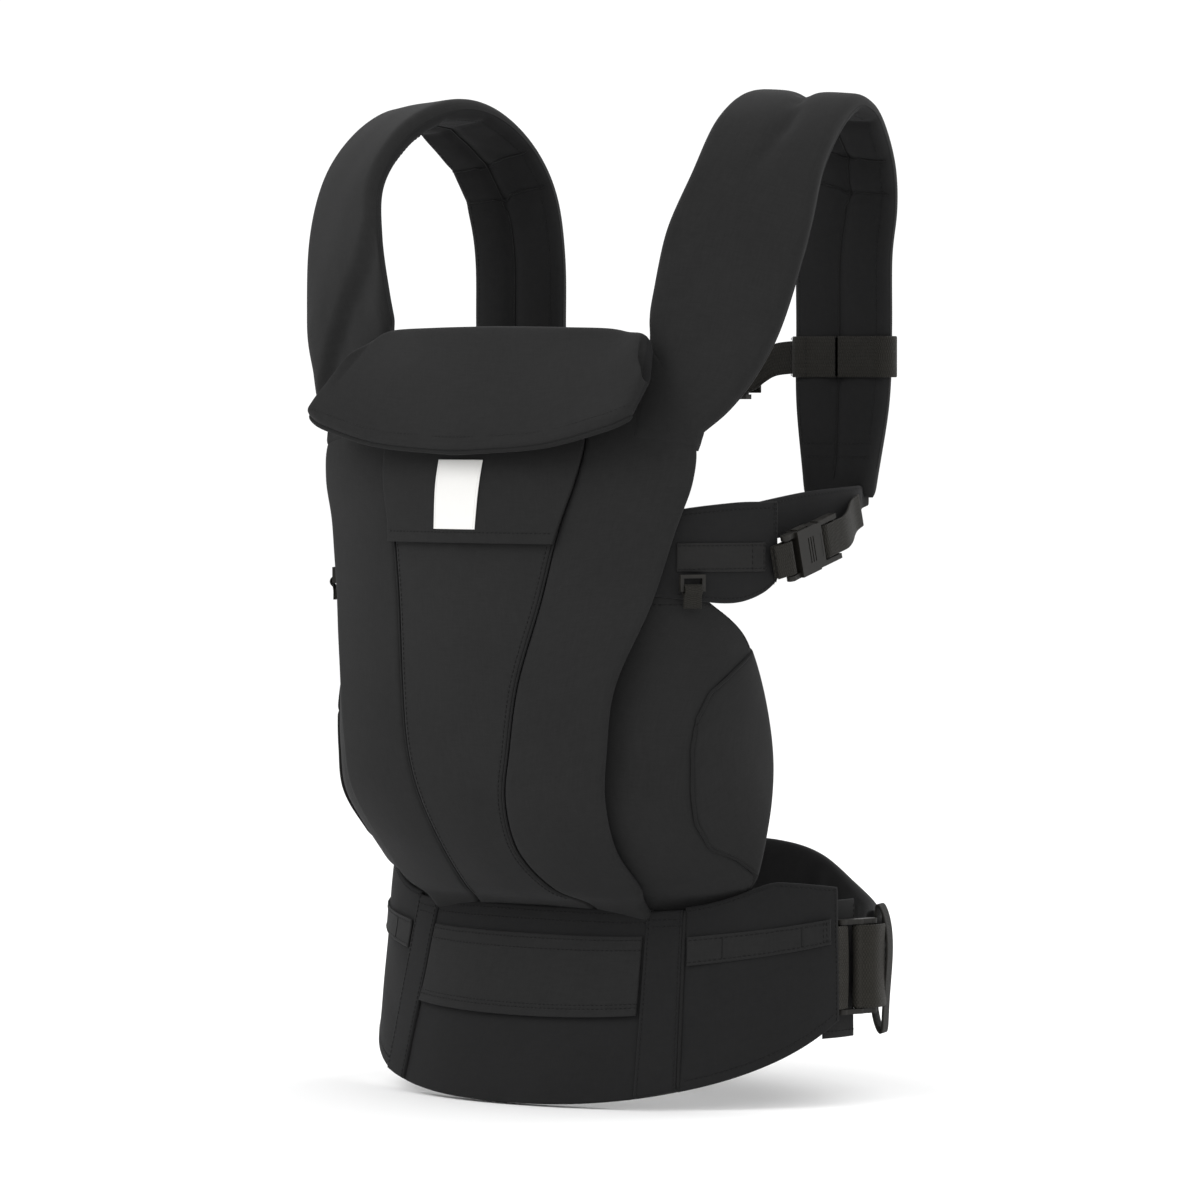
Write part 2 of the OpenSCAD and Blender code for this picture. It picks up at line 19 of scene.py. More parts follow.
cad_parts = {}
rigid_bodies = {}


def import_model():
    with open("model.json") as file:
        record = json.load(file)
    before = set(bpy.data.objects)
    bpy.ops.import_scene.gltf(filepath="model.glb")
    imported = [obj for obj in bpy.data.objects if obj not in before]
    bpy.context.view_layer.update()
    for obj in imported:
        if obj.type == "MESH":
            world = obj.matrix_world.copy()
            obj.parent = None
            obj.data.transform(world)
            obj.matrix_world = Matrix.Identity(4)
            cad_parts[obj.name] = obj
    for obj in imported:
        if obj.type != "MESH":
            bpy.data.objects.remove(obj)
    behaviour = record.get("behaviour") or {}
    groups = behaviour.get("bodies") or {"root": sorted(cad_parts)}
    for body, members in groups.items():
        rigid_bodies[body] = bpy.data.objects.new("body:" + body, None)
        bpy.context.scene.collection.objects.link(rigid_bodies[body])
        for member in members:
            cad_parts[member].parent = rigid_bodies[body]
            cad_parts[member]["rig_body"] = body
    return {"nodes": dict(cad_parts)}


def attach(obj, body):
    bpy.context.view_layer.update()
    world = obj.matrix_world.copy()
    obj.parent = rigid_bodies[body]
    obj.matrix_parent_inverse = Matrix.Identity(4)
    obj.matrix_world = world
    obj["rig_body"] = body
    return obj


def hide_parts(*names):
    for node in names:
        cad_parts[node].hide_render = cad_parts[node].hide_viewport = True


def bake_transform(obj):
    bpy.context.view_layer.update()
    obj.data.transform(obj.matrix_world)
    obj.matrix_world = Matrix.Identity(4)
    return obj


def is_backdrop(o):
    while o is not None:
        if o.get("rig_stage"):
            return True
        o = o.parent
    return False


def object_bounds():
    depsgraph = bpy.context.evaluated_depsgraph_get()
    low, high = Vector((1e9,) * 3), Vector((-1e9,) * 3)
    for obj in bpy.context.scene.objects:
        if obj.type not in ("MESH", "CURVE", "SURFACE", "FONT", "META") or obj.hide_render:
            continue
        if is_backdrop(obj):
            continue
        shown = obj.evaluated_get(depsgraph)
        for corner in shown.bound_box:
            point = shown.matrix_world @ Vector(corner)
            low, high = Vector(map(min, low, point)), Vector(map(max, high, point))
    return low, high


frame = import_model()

Array = np.ndarray
Edge = Callable[[Array], Array]
MM = 0.001
log = logging.getLogger("carrier")


class Side(Enum):
    """The wearer's two sides, as the sign of X."""

    LEFT = 1
    RIGHT = -1

    @property
    def word(self) -> str:
        """The ending of a piece's name."""
        return self.name.lower()


class Face(Enum):
    """The two faces of a padded form: the first and second height of its shell."""

    FIRST = 0
    SECOND = 1


# ---------------------------------------------------------------- surfaces


class Rows:
    """A smooth curve through the rows of a table, at any fractional row."""

    def __init__(self, table: Sequence[Sequence[float]]) -> None:
        """Keep the table.

        Args:
            table: the rows, evenly spaced in the row parameter.
        """
        self.table = np.asarray(table, float)

    def __call__(self, t: Array) -> Array:
        """Return the points at rows t, with one more axis than t."""
        t = np.asarray(t, float)
        last = len(self.table) - 1
        i = np.clip(np.floor(t).astype(int), 0, last - 1)
        f = (t - i)[..., None]
        b, c = self.table[i], self.table[i + 1]
        a = np.where((i > 0)[..., None], self.table[np.maximum(i - 1, 0)], 2 * b - c)
        d = np.where((i + 2 <= last)[..., None], self.table[np.minimum(i + 2, last)], 2 * c - b)
        return 0.5 * (2 * b + (c - a) * f + (2 * a - 5 * b + 4 * c - d) * f**2
                      + (3 * b - a - 3 * c + d) * f**3)


class Surface(ABC):
    """A surface over two parameters, in millimetres, on the wearer's left side."""

    @abstractmethod
    def point(self, u: Array, v: Array) -> Array:
        """Return the points at u along and v across, from -1 to 1."""

    def normal(self, u: Array, v: Array) -> Array:
        """Return the unit normals at u and v."""
        e = 0.01
        along = self.point(u + e, v) - self.point(u - e, v)
        across = self.point(u, v + e) - self.point(u, v - e)
        n = np.cross(along, across)
        return n / np.maximum(np.linalg.norm(n, axis=-1, keepdims=True), 1e-9)

    def lift(self, u: Array, v: Array, h: Array) -> Array:
        """Return the points at u and v, raised by h along the normal."""
        u, v = np.broadcast_arrays(np.asarray(u, float), np.asarray(v, float))
        return self.point(u, v) + self.normal(u, v) * np.asarray(h, float)[..., None]


class PanelFace(Surface):
    """The body panel: height, half width, edge depth and centre depth."""

    rows = Rows([
        [121, 84, -103, -106], [130, 90, -114, -128], [153, 90, -137, -154], [184, 96, -156, -171],
        [214, 100, -160, -176], [255, 105, -158, -175], [302, 120, -143, -168], [345, 131, -134, -164],
        [374, 140, -129, -160], [400, 139, -126, -152], [428, 118, -120, -140], [452, 99, -114, -129]])

    def point(self, u: Array, v: Array) -> Array:
        """Return points of the panel, bowed away from the wearer."""
        r = self.rows(u)
        return np.stack([r[..., 1] * v, r[..., 2] + (r[..., 3] - r[..., 2]) * (1 - v**2),
                         r[..., 0] + 0 * v], -1)


class RuledFace(Surface):
    """A surface of straight lines between two edge curves, bulged by a third."""

    def __init__(self, first: Sequence[Sequence[float]], second: Sequence[Sequence[float]],
                 bulge: Sequence[float] | None = None, fold: bool = False) -> None:
        """Keep the edges.

        Args:
            first: rows of the edge at v = -1.
            second: rows of the edge at v = 1.
            bulge: how far the middle of each row stands out sideways.
            fold: whether negative rows are the mirror image of positive ones.
        """
        self.first, self.second = Rows(first), Rows(second)
        self.bulge = None if bulge is None else Rows([[b] for b in bulge])
        self.fold = fold

    def point(self, u: Array, v: Array) -> Array:
        """Return points between the two edges."""
        t = np.abs(u) if self.fold else u
        a, b, s = self.first(t), self.second(t), ((v + 1) / 2)[..., None]
        p = a + (b - a) * s
        if self.bulge is not None:
            out = np.stack([b[..., 1] - a[..., 1], a[..., 0] - b[..., 0], 0 * a[..., 0]], -1)
            out /= np.linalg.norm(out, axis=-1, keepdims=True)
            p = p + out * self.bulge(t) * 4 * s * (1 - s)
        if self.fold:
            p = p * np.stack([np.where(u < 0, -1, 1), 1 + 0 * t, 1 + 0 * t], -1)
        return p


@dataclass(frozen=True)
class Tuck:
    """How far a face is moved as it nears or passes one of its ends.

    Attributes:
        start: row where the move begins.
        reach: rows until it is full, negative towards the first row.
        move: the full move, in millimetres.
        rising: True to move only where v is high.
    """

    start: float
    reach: float
    move: tuple[float, float, float]
    rising: bool = False

    def shift(self, u: Array, v: Array) -> Array:
        """Return the move at points of the face."""
        share = np.clip((u - self.start) / self.reach, 0, 1) + 0 * v
        share = share * share * (3 - 2 * share)
        if self.rising:
            share = share * np.clip((v + 1) / 1.2, 0, 1)
        return share[..., None] * np.array(self.move)


class TuckedFace(Surface):
    """A face that slips under its neighbours."""

    def __init__(self, face: Surface, tuck: Tuck) -> None:
        """Keep the face and how it is tucked."""
        self.face, self.tuck = face, tuck

    def point(self, u: Array, v: Array) -> Array:
        """Return points of the tucked face."""
        return self.face.point(u, v) + self.tuck.shift(np.asarray(u, float), np.asarray(v, float))


class DrapedFace(Surface):
    """A face that runs on below its first row to a straight line."""

    def __init__(self, face: Surface, first: Sequence[float], second: Sequence[float], rows: float) -> None:
        """Keep the face, the ends of the line and how many rows lie between."""
        self.face, self.rows = face, rows
        self.first, self.second = np.array(first, float), np.array(second, float)

    def point(self, u: Array, v: Array) -> Array:
        """Return points of the face or of the stretch below it."""
        p = self.face.point(np.maximum(u, 0), v)
        low = self.first + (self.second - self.first) * ((v + 1) / 2)[..., None]
        share = np.clip(-np.asarray(u, float) / self.rows, 0, 1.2) + 0 * v
        return p + (low - p) * share[..., None]


class UprightFace(Surface):
    """A surface that stands upright over a plan line, between two heights."""

    def __init__(self, table: Sequence[Sequence[float]]) -> None:
        """Keep rows of x, y, lower z and upper z."""
        self.rows = Rows(table)

    def point(self, u: Array, v: Array) -> Array:
        """Return points between the two heights."""
        r = self.rows(u)
        z = r[..., 2] + (r[..., 3] - r[..., 2]) * (v + 1) / 2
        return np.stack([r[..., 0] + 0 * v, r[..., 1] + 0 * v, z], -1)

    def level(self, z: float) -> Edge:
        """Return the edge that lies level at height z."""
        table = self.rows.table
        shares = [2 * (z - row[2]) / (row[3] - row[2]) - 1 for row in table]
        return lambda u: np.interp(u, range(len(table)), shares)


class BeltFace(Surface):
    """The waist belt's outer face: u is the angle from the front, in degrees."""

    def __init__(self, offset: float = 0.0, low: float | None = None, high: float | None = None) -> None:
        """Keep the sizes.

        Args:
            offset: how far inside the outer face a plain band lies.
            low: lower edge of a plain band, or None for the belt's own outline.
            high: upper edge of a plain band.
        """
        self.offset, self.low, self.high = offset, low, high

    def lower(self, a: Array) -> Array:
        """Return the belt's lower edge at angle a."""
        return 1 + 50 * (np.minimum(np.abs(a), 80) / 80) ** 2.2

    def upper(self, a: Array) -> Array:
        """Return the belt's upper edge at angle a."""
        b = np.abs(a)
        rise = np.clip((b - 36) / 25, 0, 1)
        return (117 + 2 * np.exp(-(((b - 38) / 8) ** 2))
                + 18 * (0.55 * rise ** 1.5 + 0.45 * rise * rise * (3 - 2 * rise))
                - 4 * np.maximum((b - 61) / 19, 0) ** 1.3)

    def v_at(self, a: Array, z: Array) -> Array:
        """Return v at angle a and height z."""
        return 2 * (z - self.lower(a)) / (self.upper(a) - self.lower(a)) - 1

    def point(self, u: Array, v: Array) -> Array:
        """Return points of the belt, which flares towards its lower edge."""
        a = np.radians(u)
        if self.low is not None:
            return np.stack([(172 - self.offset) * np.sin(a) + 0 * v,
                             -(118 - self.offset) * np.cos(a) + 0 * v,
                             self.low + (self.high - self.low) * (v + 1) / 2 + 0 * a], -1)
        flare = 17 * np.cos(np.radians(np.minimum(np.abs(u), 90))) ** 1.2
        low, high = self.lower(u), self.upper(u)
        return np.stack([(172 - flare * v * 0.6) * np.sin(a), -(118 - flare * v) * np.cos(a),
                         low + (high - low) * (v + 1) / 2], -1)


class LumbarFace(Surface):
    """The pad at the small of the back: u is the angle from +X, in degrees."""

    table = [[22, 64, 112], [35, 56, 116], [50, 50, 125], [66, 47, 141], [80, 46, 147], [90, 46, 147]]

    def point(self, u: Array, v: Array) -> Array:
        """Return points of the pad on the belt's inner ellipse."""
        side = np.where(u > 90, 180 - u, u)
        i = np.interp(side, [r[0] for r in self.table], range(len(self.table)))
        r, a = Rows(self.table)(i), np.radians(u)
        z = r[..., 1] + (r[..., 2] - r[..., 1]) * (v + 1) / 2
        return np.stack([163 * np.cos(a) + 0 * v, 109 * np.sin(a) + 0 * v, z], -1)


PANEL = PanelFace()
BELT = BeltFace()
STRAP = DrapedFace(RuledFace(
    [[101, -110, 456], [101, -112, 463], [101, -114, 472], [104, -115, 486], [112, -113, 522],
     [121, -100, 556], [119, -76, 584], [114, -46, 599], [111, -16, 602], [108, 12, 593],
     [103, 34, 573], [97, 44, 546], [92, 45, 508], [92, 45, 465], [92, 45, 421], [97, 45, 374]],
    [[142, -121, 403], [156, -112, 417], [169, -102, 438], [181, -93, 468], [190, -80, 518],
     [190, -66, 556], [187, -44, 582], [182, -18, 597], [178, 4, 594], [173, 22, 580],
     [168, 37, 560], [164, 44, 536], [160, 45, 508], [160, 45, 465], [158, 45, 421], [149, 45, 374]]),
    (101, -135, 395), (141, -122, 392), 1.7)
LEG = TuckedFace(RuledFace(
    [[88, -106, 136], [88, -124, 160], [89, -140, 184], [92, -142, 208], [95, -141, 232],
     [100, -137, 262], [106, -133, 284], [110, -130, 304]],
    [[139, -62, 137], [142, -60, 160], [145, -59, 184], [145, -58, 208], [144, -61, 232],
     [142, -69, 262], [140, -80, 284], [134, -104, 304]],
    bulge=[4, 13, 20, 21, 20, 16, 10, 3]), Tuck(0.15, -0.6, (-13.0, 7.0, 0.0)))
HEAD = TuckedFace(RuledFace(
    [[0, -170, 390], [62, -167, 394], [105, -164, 403], [118, -161, 408], [123, -158, 412]],
    [[0, -131, 463], [50, -128, 462], [90, -122, 459], [109, -136, 449], [118, -150, 430]], fold=True),
    Tuck(2.0, 1.1, (3.5, 9.0, 8.0), rising=True))
WING = UprightFace([[119, -129.5, 306, 356], [133, -117, 304, 359], [143, -101, 302, 361],
                    [149, -88, 303, 362], [154, -75, 308, 362], [157, -66, 315, 362]])
END_FLAP = UprightFace([[143, -88, 338, 358], [146, -67, 338, 362], [149, -28, 343, 367],
                        [151, 0, 348, 369], [149, 24, 353, 370], [143, 36, 355, 370]])


def constant(value: float) -> Edge:
    """Return an edge that stays at one value of v."""
    return lambda u: value + 0 * np.asarray(u, float)


def through(*points: tuple[float, float]) -> Edge:
    """Return an edge through (u, v) points, straight between them."""
    xs, ys = zip(*points)
    return lambda u: np.interp(u, xs, ys)


def panel_seam(t: Array) -> Array:
    """Return how far the panel's long seam is from its middle, as v at row t."""
    return Rows([[0.5], [0.37], [0.315], [0.335], [0.385], [0.42], [0.45], [0.48], [0.51], [0.53],
                 [0.55], [0.56]])(t)[..., 0]


def leg_seam(t: Array) -> Array:
    """Return where the wing's cloth meets its rim, as v at row t."""
    return np.interp(t, [0.1, 0.65, 0.95, 1.6, 2.35, 3.35, 4.05, 4.55, 5.05, 5.5],
                     [0.99, 0.55, 0.15, -0.05, -0.12, -0.16, -0.11, 0.07, 0.56, 1.0])


def smoothed(points: Sequence[Sequence[float]], step: float = 2.0) -> Array:
    """Return a smooth line through points, with about that step.

    Args:
        points: the line's own points, of any number of coordinates.
        step: spacing of the new points in millimetres.

    Returns:
        The new points, one row each.
    """
    p = np.asarray(points, float)
    curve = Rows(p)
    out = []
    for i, gap in enumerate(np.linalg.norm(np.diff(p[:, :3], axis=0), axis=1)):
        n = max(1, int(round(gap / step)))
        out.append(curve(i + np.arange(n) / n))
    return np.vstack(out + [p[-1:]])


def resampled(points: Array, pitch: float) -> Array:
    """Return points evenly spaced by about pitch along a line."""
    along = np.concatenate([[0], np.cumsum(np.linalg.norm(np.diff(points, axis=0), axis=1))])
    n = max(2, int(along[-1] / pitch))
    s = np.linspace(0, along[-1], n + 1)
    return np.stack([np.interp(s, along, points[:, k]) for k in range(points.shape[1])], -1)


def nearest(points: Array, line: Array) -> tuple[Array, Array]:
    """Measure points against a line.

    Args:
        points: the points, with three coordinates last.
        line: the line's points, close together.

    Returns:
        The distance of each point, and how far along the line its nearest point is, from 0 to 1.
    """
    flat = points.reshape(-1, 3)
    d = np.linalg.norm(flat[:, None, :] - line[None, :, :], axis=-1)
    k = d.argmin(1)
    return (d[np.arange(len(flat)), k].reshape(points.shape[:-1]),
            (k / max(len(line) - 1, 1)).reshape(points.shape[:-1]))


# ---------------------------------------------------------------- shapes


@dataclass
class Form:
    """A mesh in the making.

    Attributes:
        verts: points in millimetres.
        faces: corner indices of each face.
        uvs: distance along and across at each point, in metres.
        parts: which material each face takes.
        hold: how firmly each point is sewn down, from 0 to 1.
    """

    verts: Array
    faces: list[tuple[int, ...]]
    uvs: Array
    parts: Array
    hold: Array | None = None

    def mirrored(self, side: Side) -> "Form":
        """Return the form for a side: itself on the left, its mirror image on the right."""
        if side is Side.LEFT:
            return self
        return replace(self, verts=self.verts * [-1, 1, 1], faces=[f[::-1] for f in self.faces])

    def outward(self) -> "Form":
        """Return the form with every face looking out of the volume."""
        v, total = self.verts, 0.0
        for f in self.faces:
            for k in range(1, len(f) - 1):
                total += float(np.dot(v[f[0]], np.cross(v[f[k]], v[f[k + 1]])))
        return self if total >= 0 else replace(self, faces=[f[::-1] for f in self.faces])

    def mesh(self, name: str) -> bpy.types.Object:
        """Return a new object with this form, in metres, shaded smooth."""
        data = bpy.data.meshes.new(name)
        data.from_pydata((self.verts * MM).tolist(), [], self.faces)
        layer = data.uv_layers.new(name="Cloth")
        corners = np.empty(len(data.loops), int)
        data.loops.foreach_get("vertex_index", corners)
        layer.data.foreach_set("uv", self.uvs[corners].astype(np.float32).ravel())
        data.polygons.foreach_set("material_index", self.parts.astype(np.int32))
        data.polygons.foreach_set("use_smooth", [True] * len(self.faces))
        data.update()
        obj = bpy.data.objects.new(name, data)
        bpy.context.scene.collection.objects.link(obj)
        return obj


def joined(forms: Sequence[Form]) -> Form:
    """Return several forms as one."""
    start, faces = 0, []
    for f in forms:
        faces += [tuple(i + start for i in face) for face in f.faces]
        start += len(f.verts)
    return Form(np.vstack([f.verts for f in forms]), faces, np.vstack([f.uvs for f in forms]),
                np.concatenate([f.parts for f in forms]))


@dataclass(frozen=True)
class Puff:
    """How a padded form swells: cloth under pressure, with its seams sewn down.

    Attributes:
        pressure: air pressure inside.
        frames: steps of the simulation.
        cap: furthest that a point may move, in millimetres.
        stiffness: how little the cloth stretches.
    """

    pressure: float = 4.0
    frames: int = 20
    cap: float = 6.0
    stiffness: float = 25.0

    def swell(self, form: Form) -> Form:
        """Return the form after the simulation.

        Args:
            form: a closed form with its hold weights.

        Returns:
            The swollen form.
        """
        obj = form.mesh("puff_trial")
        group = obj.vertex_groups.new(name="sewn")
        for i, w in enumerate(form.hold):
            if w > 0.02:
                group.add([i], float(w), "REPLACE")
        cloth = obj.modifiers.new("Cloth", "CLOTH")
        s = cloth.settings
        s.quality = 6
        s.mass = 0.25
        s.tension_stiffness = s.compression_stiffness = self.stiffness
        s.shear_stiffness = self.stiffness * 0.4
        s.bending_stiffness = 0.6
        s.use_pressure = True
        s.uniform_pressure_force = self.pressure
        s.vertex_group_mass = "sewn"
        s.effector_weights.gravity = 0.0
        cloth.collision_settings.use_collision = False
        cloth.point_cache.frame_start, cloth.point_cache.frame_end = 1, self.frames
        scene = bpy.context.scene
        for f in range(1, self.frames + 1):
            scene.frame_set(f)
        shaped = obj.evaluated_get(bpy.context.evaluated_depsgraph_get()).to_mesh()
        moved = np.empty(len(shaped.vertices) * 3)
        shaped.vertices.foreach_get("co", moved)
        moved = moved.reshape(-1, 3) / MM
        data = obj.data
        bpy.data.objects.remove(obj)
        bpy.data.meshes.remove(data)
        scene.frame_set(1)
        step = moved - form.verts
        size = np.linalg.norm(step, axis=1, keepdims=True)
        step *= self.cap * np.tanh(size / self.cap) / np.maximum(size, 1e-9)
        return replace(form, verts=form.verts + step)


@dataclass(frozen=True)
class Crease:
    """A line pressed or sewn into a padded form.

    Attributes:
        path: (u, v) points of the line.
        depth: how deep it is in the middle, in millimetres.
        width: how far it reaches to each side.
        face: which face it is on.
        step: whether only the side towards -v is lowered, as under an overlap.
        fade: share of the length over which each end fades out.
        sewn: whether the line holds the padding down while it swells.
    """

    path: Sequence[tuple[float, float]]
    depth: float = 2.5
    width: float = 3.0
    face: Face = Face.FIRST
    step: bool = False
    fade: float = 0.0
    sewn: bool = True

    def sink(self, surface: Surface, u: Array, v: Array) -> tuple[Array, Array]:
        """Measure the crease over a grid.

        Args:
            surface: the surface that the form lies on.
            u: grid of parameters along.
            v: grid of parameters across.

        Returns:
            How far each point sinks, and how firmly it is sewn down.
        """
        path = smoothed([(a * 1.0, b * 1.0, 0.0) for a, b in self.path], 0.2)
        dense = resampled(surface.point(path[:, 0], path[:, 1]), 1.5)
        d, along = nearest(surface.point(u, v), dense)
        ends = np.ones_like(d)
        if self.fade > 0:
            ends = np.clip(np.minimum(along, 1 - along) / self.fade, 0, 1) ** 0.7
        shape = np.exp(-d / self.width)
        if self.step:
            edge = np.interp(u, path[:, 0], path[:, 1]) if path[-1, 0] > path[0, 0] else np.interp(
                u, path[::-1, 0], path[::-1, 1])
            under = 1 / (1 + np.exp(np.clip((v - edge) * 60, -50, 50)))
            shape = under * np.exp(-((d / self.width) ** 2) / 2)
        sewn = np.exp(-((d / 2.5) ** 2)) * ends if self.sewn else 0 * d
        return self.depth * shape * ends, sewn


@dataclass
class Shell:
    """A closed form over a patch of surface, between two heights.

    Attributes:
        surface: what it lies on.
        start: first row or angle.
        stop: last row or angle.
        lower: its edge towards v = -1.
        upper: its edge towards v = 1.
        first: height of its first face, in millimetres.
        second: height of its second face.
        edge: radius of its rounded edges.
        step: size of the mesh's cells.
        creases: the lines on it.
        waves: height of the slow unevenness of the cloth.
        wavelength: length of that unevenness.
        crown: how far each face stands out in the middle.
        lips: how far the four edges lift, at start, stop, lower and upper.
        puff: how it swells, or None.
        seed: which unevenness it gets.
    """

    surface: Surface
    start: float
    stop: float
    lower: Edge
    upper: Edge
    first: float
    second: float
    edge: float = 3.0
    step: float = 5.0
    creases: Sequence[Crease] = ()
    waves: float = 0.35
    wavelength: float = 70.0
    crown: float = 0.0
    lips: tuple[float, float, float, float] = (0, 0, 0, 0)
    puff: Puff | None = None
    seed: int = 1

    def spread(self, length: float) -> Array:
        """Return fractions from 0 to 1 along a length, close together at both ends."""
        near = [x for x in (self.edge * 0.1, self.edge * 0.4, self.edge * 0.9, self.edge * 1.6)
                if x < length * 0.4]
        last = near[-1] if near else 0.0
        n = max(1, int(round((length - 2 * last) / self.step)))
        inner = np.linspace(last, length - last, n + 1)
        return np.concatenate([[0], near, inner[1:-1], [length - x for x in near[::-1]], [length]]) / length

    def grid(self) -> tuple[Array, Array, Array, Array]:
        """Return the grid of u and v, and the distances along and across, in millimetres."""
        probe = np.linspace(0, 1, 41)
        u = self.start + (self.stop - self.start) * probe
        middle = (self.lower(u) + self.upper(u)) / 2
        length = np.linalg.norm(np.diff(self.surface.point(u, middle), axis=0), axis=1).sum()
        v = self.lower(u)[:, None] + (self.upper(u) - self.lower(u))[:, None] * probe[None, :]
        widths = np.linalg.norm(np.diff(self.surface.point(u[:, None] + 0 * v, v), axis=1), axis=-1).sum(1)
        s, r = self.spread(length), self.spread(float(widths.mean()))
        u = self.start + (self.stop - self.start) * s
        v = self.lower(u)[:, None] + (self.upper(u) - self.lower(u))[:, None] * r[None, :]
        u = u[:, None] + 0 * v
        p = self.surface.point(u, v)
        along = np.vstack([np.zeros((1, v.shape[1])),
                           np.cumsum(np.linalg.norm(np.diff(p, axis=0), axis=-1), axis=0)])
        across = np.hstack([np.zeros((v.shape[0], 1)),
                            np.cumsum(np.linalg.norm(np.diff(p, axis=1), axis=-1), axis=1)])
        return u, v, along, across

    def unevenness(self, p: Array, shift: float) -> Array:
        """Return a slow unevenness between -1 and 1 at points p."""
        rng = np.random.RandomState(self.seed)
        total = np.zeros(p.shape[:-1])
        for k in range(5):
            way = rng.normal(size=3)
            way /= np.linalg.norm(way)
            length = self.wavelength * (0.45 + 0.4 * k)
            total += np.sin(2 * np.pi * (p @ way) / length + rng.uniform(0, 6.28) + shift) / 3
        return total

    def size(self) -> tuple[float, float]:
        """Return the flat width and length of the patch, in metres."""
        _, _, along, across = self.grid()
        return float(across[:, -1].mean()) * MM, float(along[-1].mean()) * MM

    def area(self) -> float:
        """Return the flat area of the patch, in square metres."""
        _, _, along, across = self.grid()
        width = across[:, -1]
        rows = along.mean(1)
        return float(((width[1:] + width[:-1]) / 2 * np.diff(rows)).sum()) * MM * MM

    def form(self) -> Form:
        """Return the finished form."""
        u, v, along, across = self.grid()
        rows, cols = u.shape
        p, n = self.surface.point(u, v), self.surface.normal(u, v)
        to_v = np.minimum(across, across[:, -1:] - across)
        to_u = np.minimum(along, along[-1:, :] - along)

        def rounding(d: Array) -> Array:
            """Return the share of the thickness at distance d from an edge."""
            return np.sqrt(np.clip(1 - (1 - np.clip(d / self.edge, 0, 1)) ** 2, 0, 1))

        share = rounding(to_v) * rounding(to_u)
        half_v = np.maximum(across[:, -1:] / 2, 1e-6)
        dome = (1 - (1 - to_v / half_v) ** 2) * (1 - (1 - np.clip(to_u / (along[-1:, :] / 2), 0, 1)) ** 4)
        s = along / along[-1:, :]
        r = across / across[:, -1:]
        lip = (self.lips[0] * np.exp(-s * 14) + self.lips[1] * np.exp(-(1 - s) * 14)
               + self.lips[2] * np.exp(-r * 14) + self.lips[3] * np.exp(-(1 - r) * 14))
        middle = (self.first + self.second) / 2
        sinks = [np.zeros_like(u), np.zeros_like(u)]
        sewn = [np.zeros_like(u), np.zeros_like(u)]
        for c in self.creases:
            depth, firm = c.sink(self.surface, u, v)
            sinks[c.face.value] += depth
            sewn[c.face.value] = np.maximum(sewn[c.face.value], firm)
        way = 1 if self.second > self.first else -1
        faces_h = []
        for k, h in enumerate((self.first, self.second)):
            out = -way if k == 0 else way
            faces_h.append(middle + (h - middle) * share + lip
                           + out * share * (self.crown * dome + self.waves * self.unevenness(p, k)))
        body = self._close(p, n, faces_h, along, across, sewn, share)
        if self.puff is not None:
            body = self.puff.swell(body)
        normals = n.reshape(-1, 3)
        inner = np.zeros((rows, cols), bool)
        inner[1:-1, 1:-1] = True
        push = np.zeros_like(body.verts)
        push[:rows * cols] = normals * (way * sinks[0] * share).reshape(-1, 1)
        push[rows * cols:] = (n * (-way * sinks[1] * share)[..., None])[inner]
        return replace(body, verts=body.verts + push).outward()

    def _close(self, p: Array, n: Array, heights: Sequence[Array], along: Array, across: Array,
               sewn: Sequence[Array], share: Array) -> Form:
        """Return the first grid and the inner part of the second, closed along their shared edge."""
        rows, cols = along.shape
        first = p + n * heights[0][..., None]
        second = p + n * heights[1][..., None]
        inner = np.zeros((rows, cols), bool)
        inner[1:-1, 1:-1] = True
        index = np.arange(rows * cols).reshape(rows, cols)
        back = index.copy()
        back[inner] = rows * cols + np.arange(inner.sum())
        faces, parts = [], []
        for table, part in ((index, 0), (back, 1)):
            a, b, c, d = table[:-1, :-1], table[:-1, 1:], table[1:, 1:], table[1:, :-1]
            quads = np.stack([a, b, c, d] if part == 0 else [a, d, c, b], -1).reshape(-1, 4)
            faces += [tuple(int(i) for i in q) for q in quads]
            parts.append(np.full(len(quads), part))
        uv = np.stack([along, across], -1) * MM
        held = [np.maximum(s, np.where(share < 0.6, 1.0, 0.0)) for s in sewn]
        return Form(np.vstack([first.reshape(-1, 3), second[inner]]), faces,
                    np.vstack([uv.reshape(-1, 2), uv[inner]]), np.concatenate(parts),
                    np.concatenate([held[0].ravel(), held[1][inner]]))

    def line(self, path: Sequence[tuple[float, float]], height: float) -> tuple[Array, Array]:
        """Return points and normals along (u, v) points of the surface, at a height."""
        uv = smoothed([(a, b, 0.0) for a, b in path], 0.15)
        return (self.surface.lift(uv[:, 0], uv[:, 1], height + 0 * uv[:, 0]),
                self.surface.normal(uv[:, 0], uv[:, 1]))


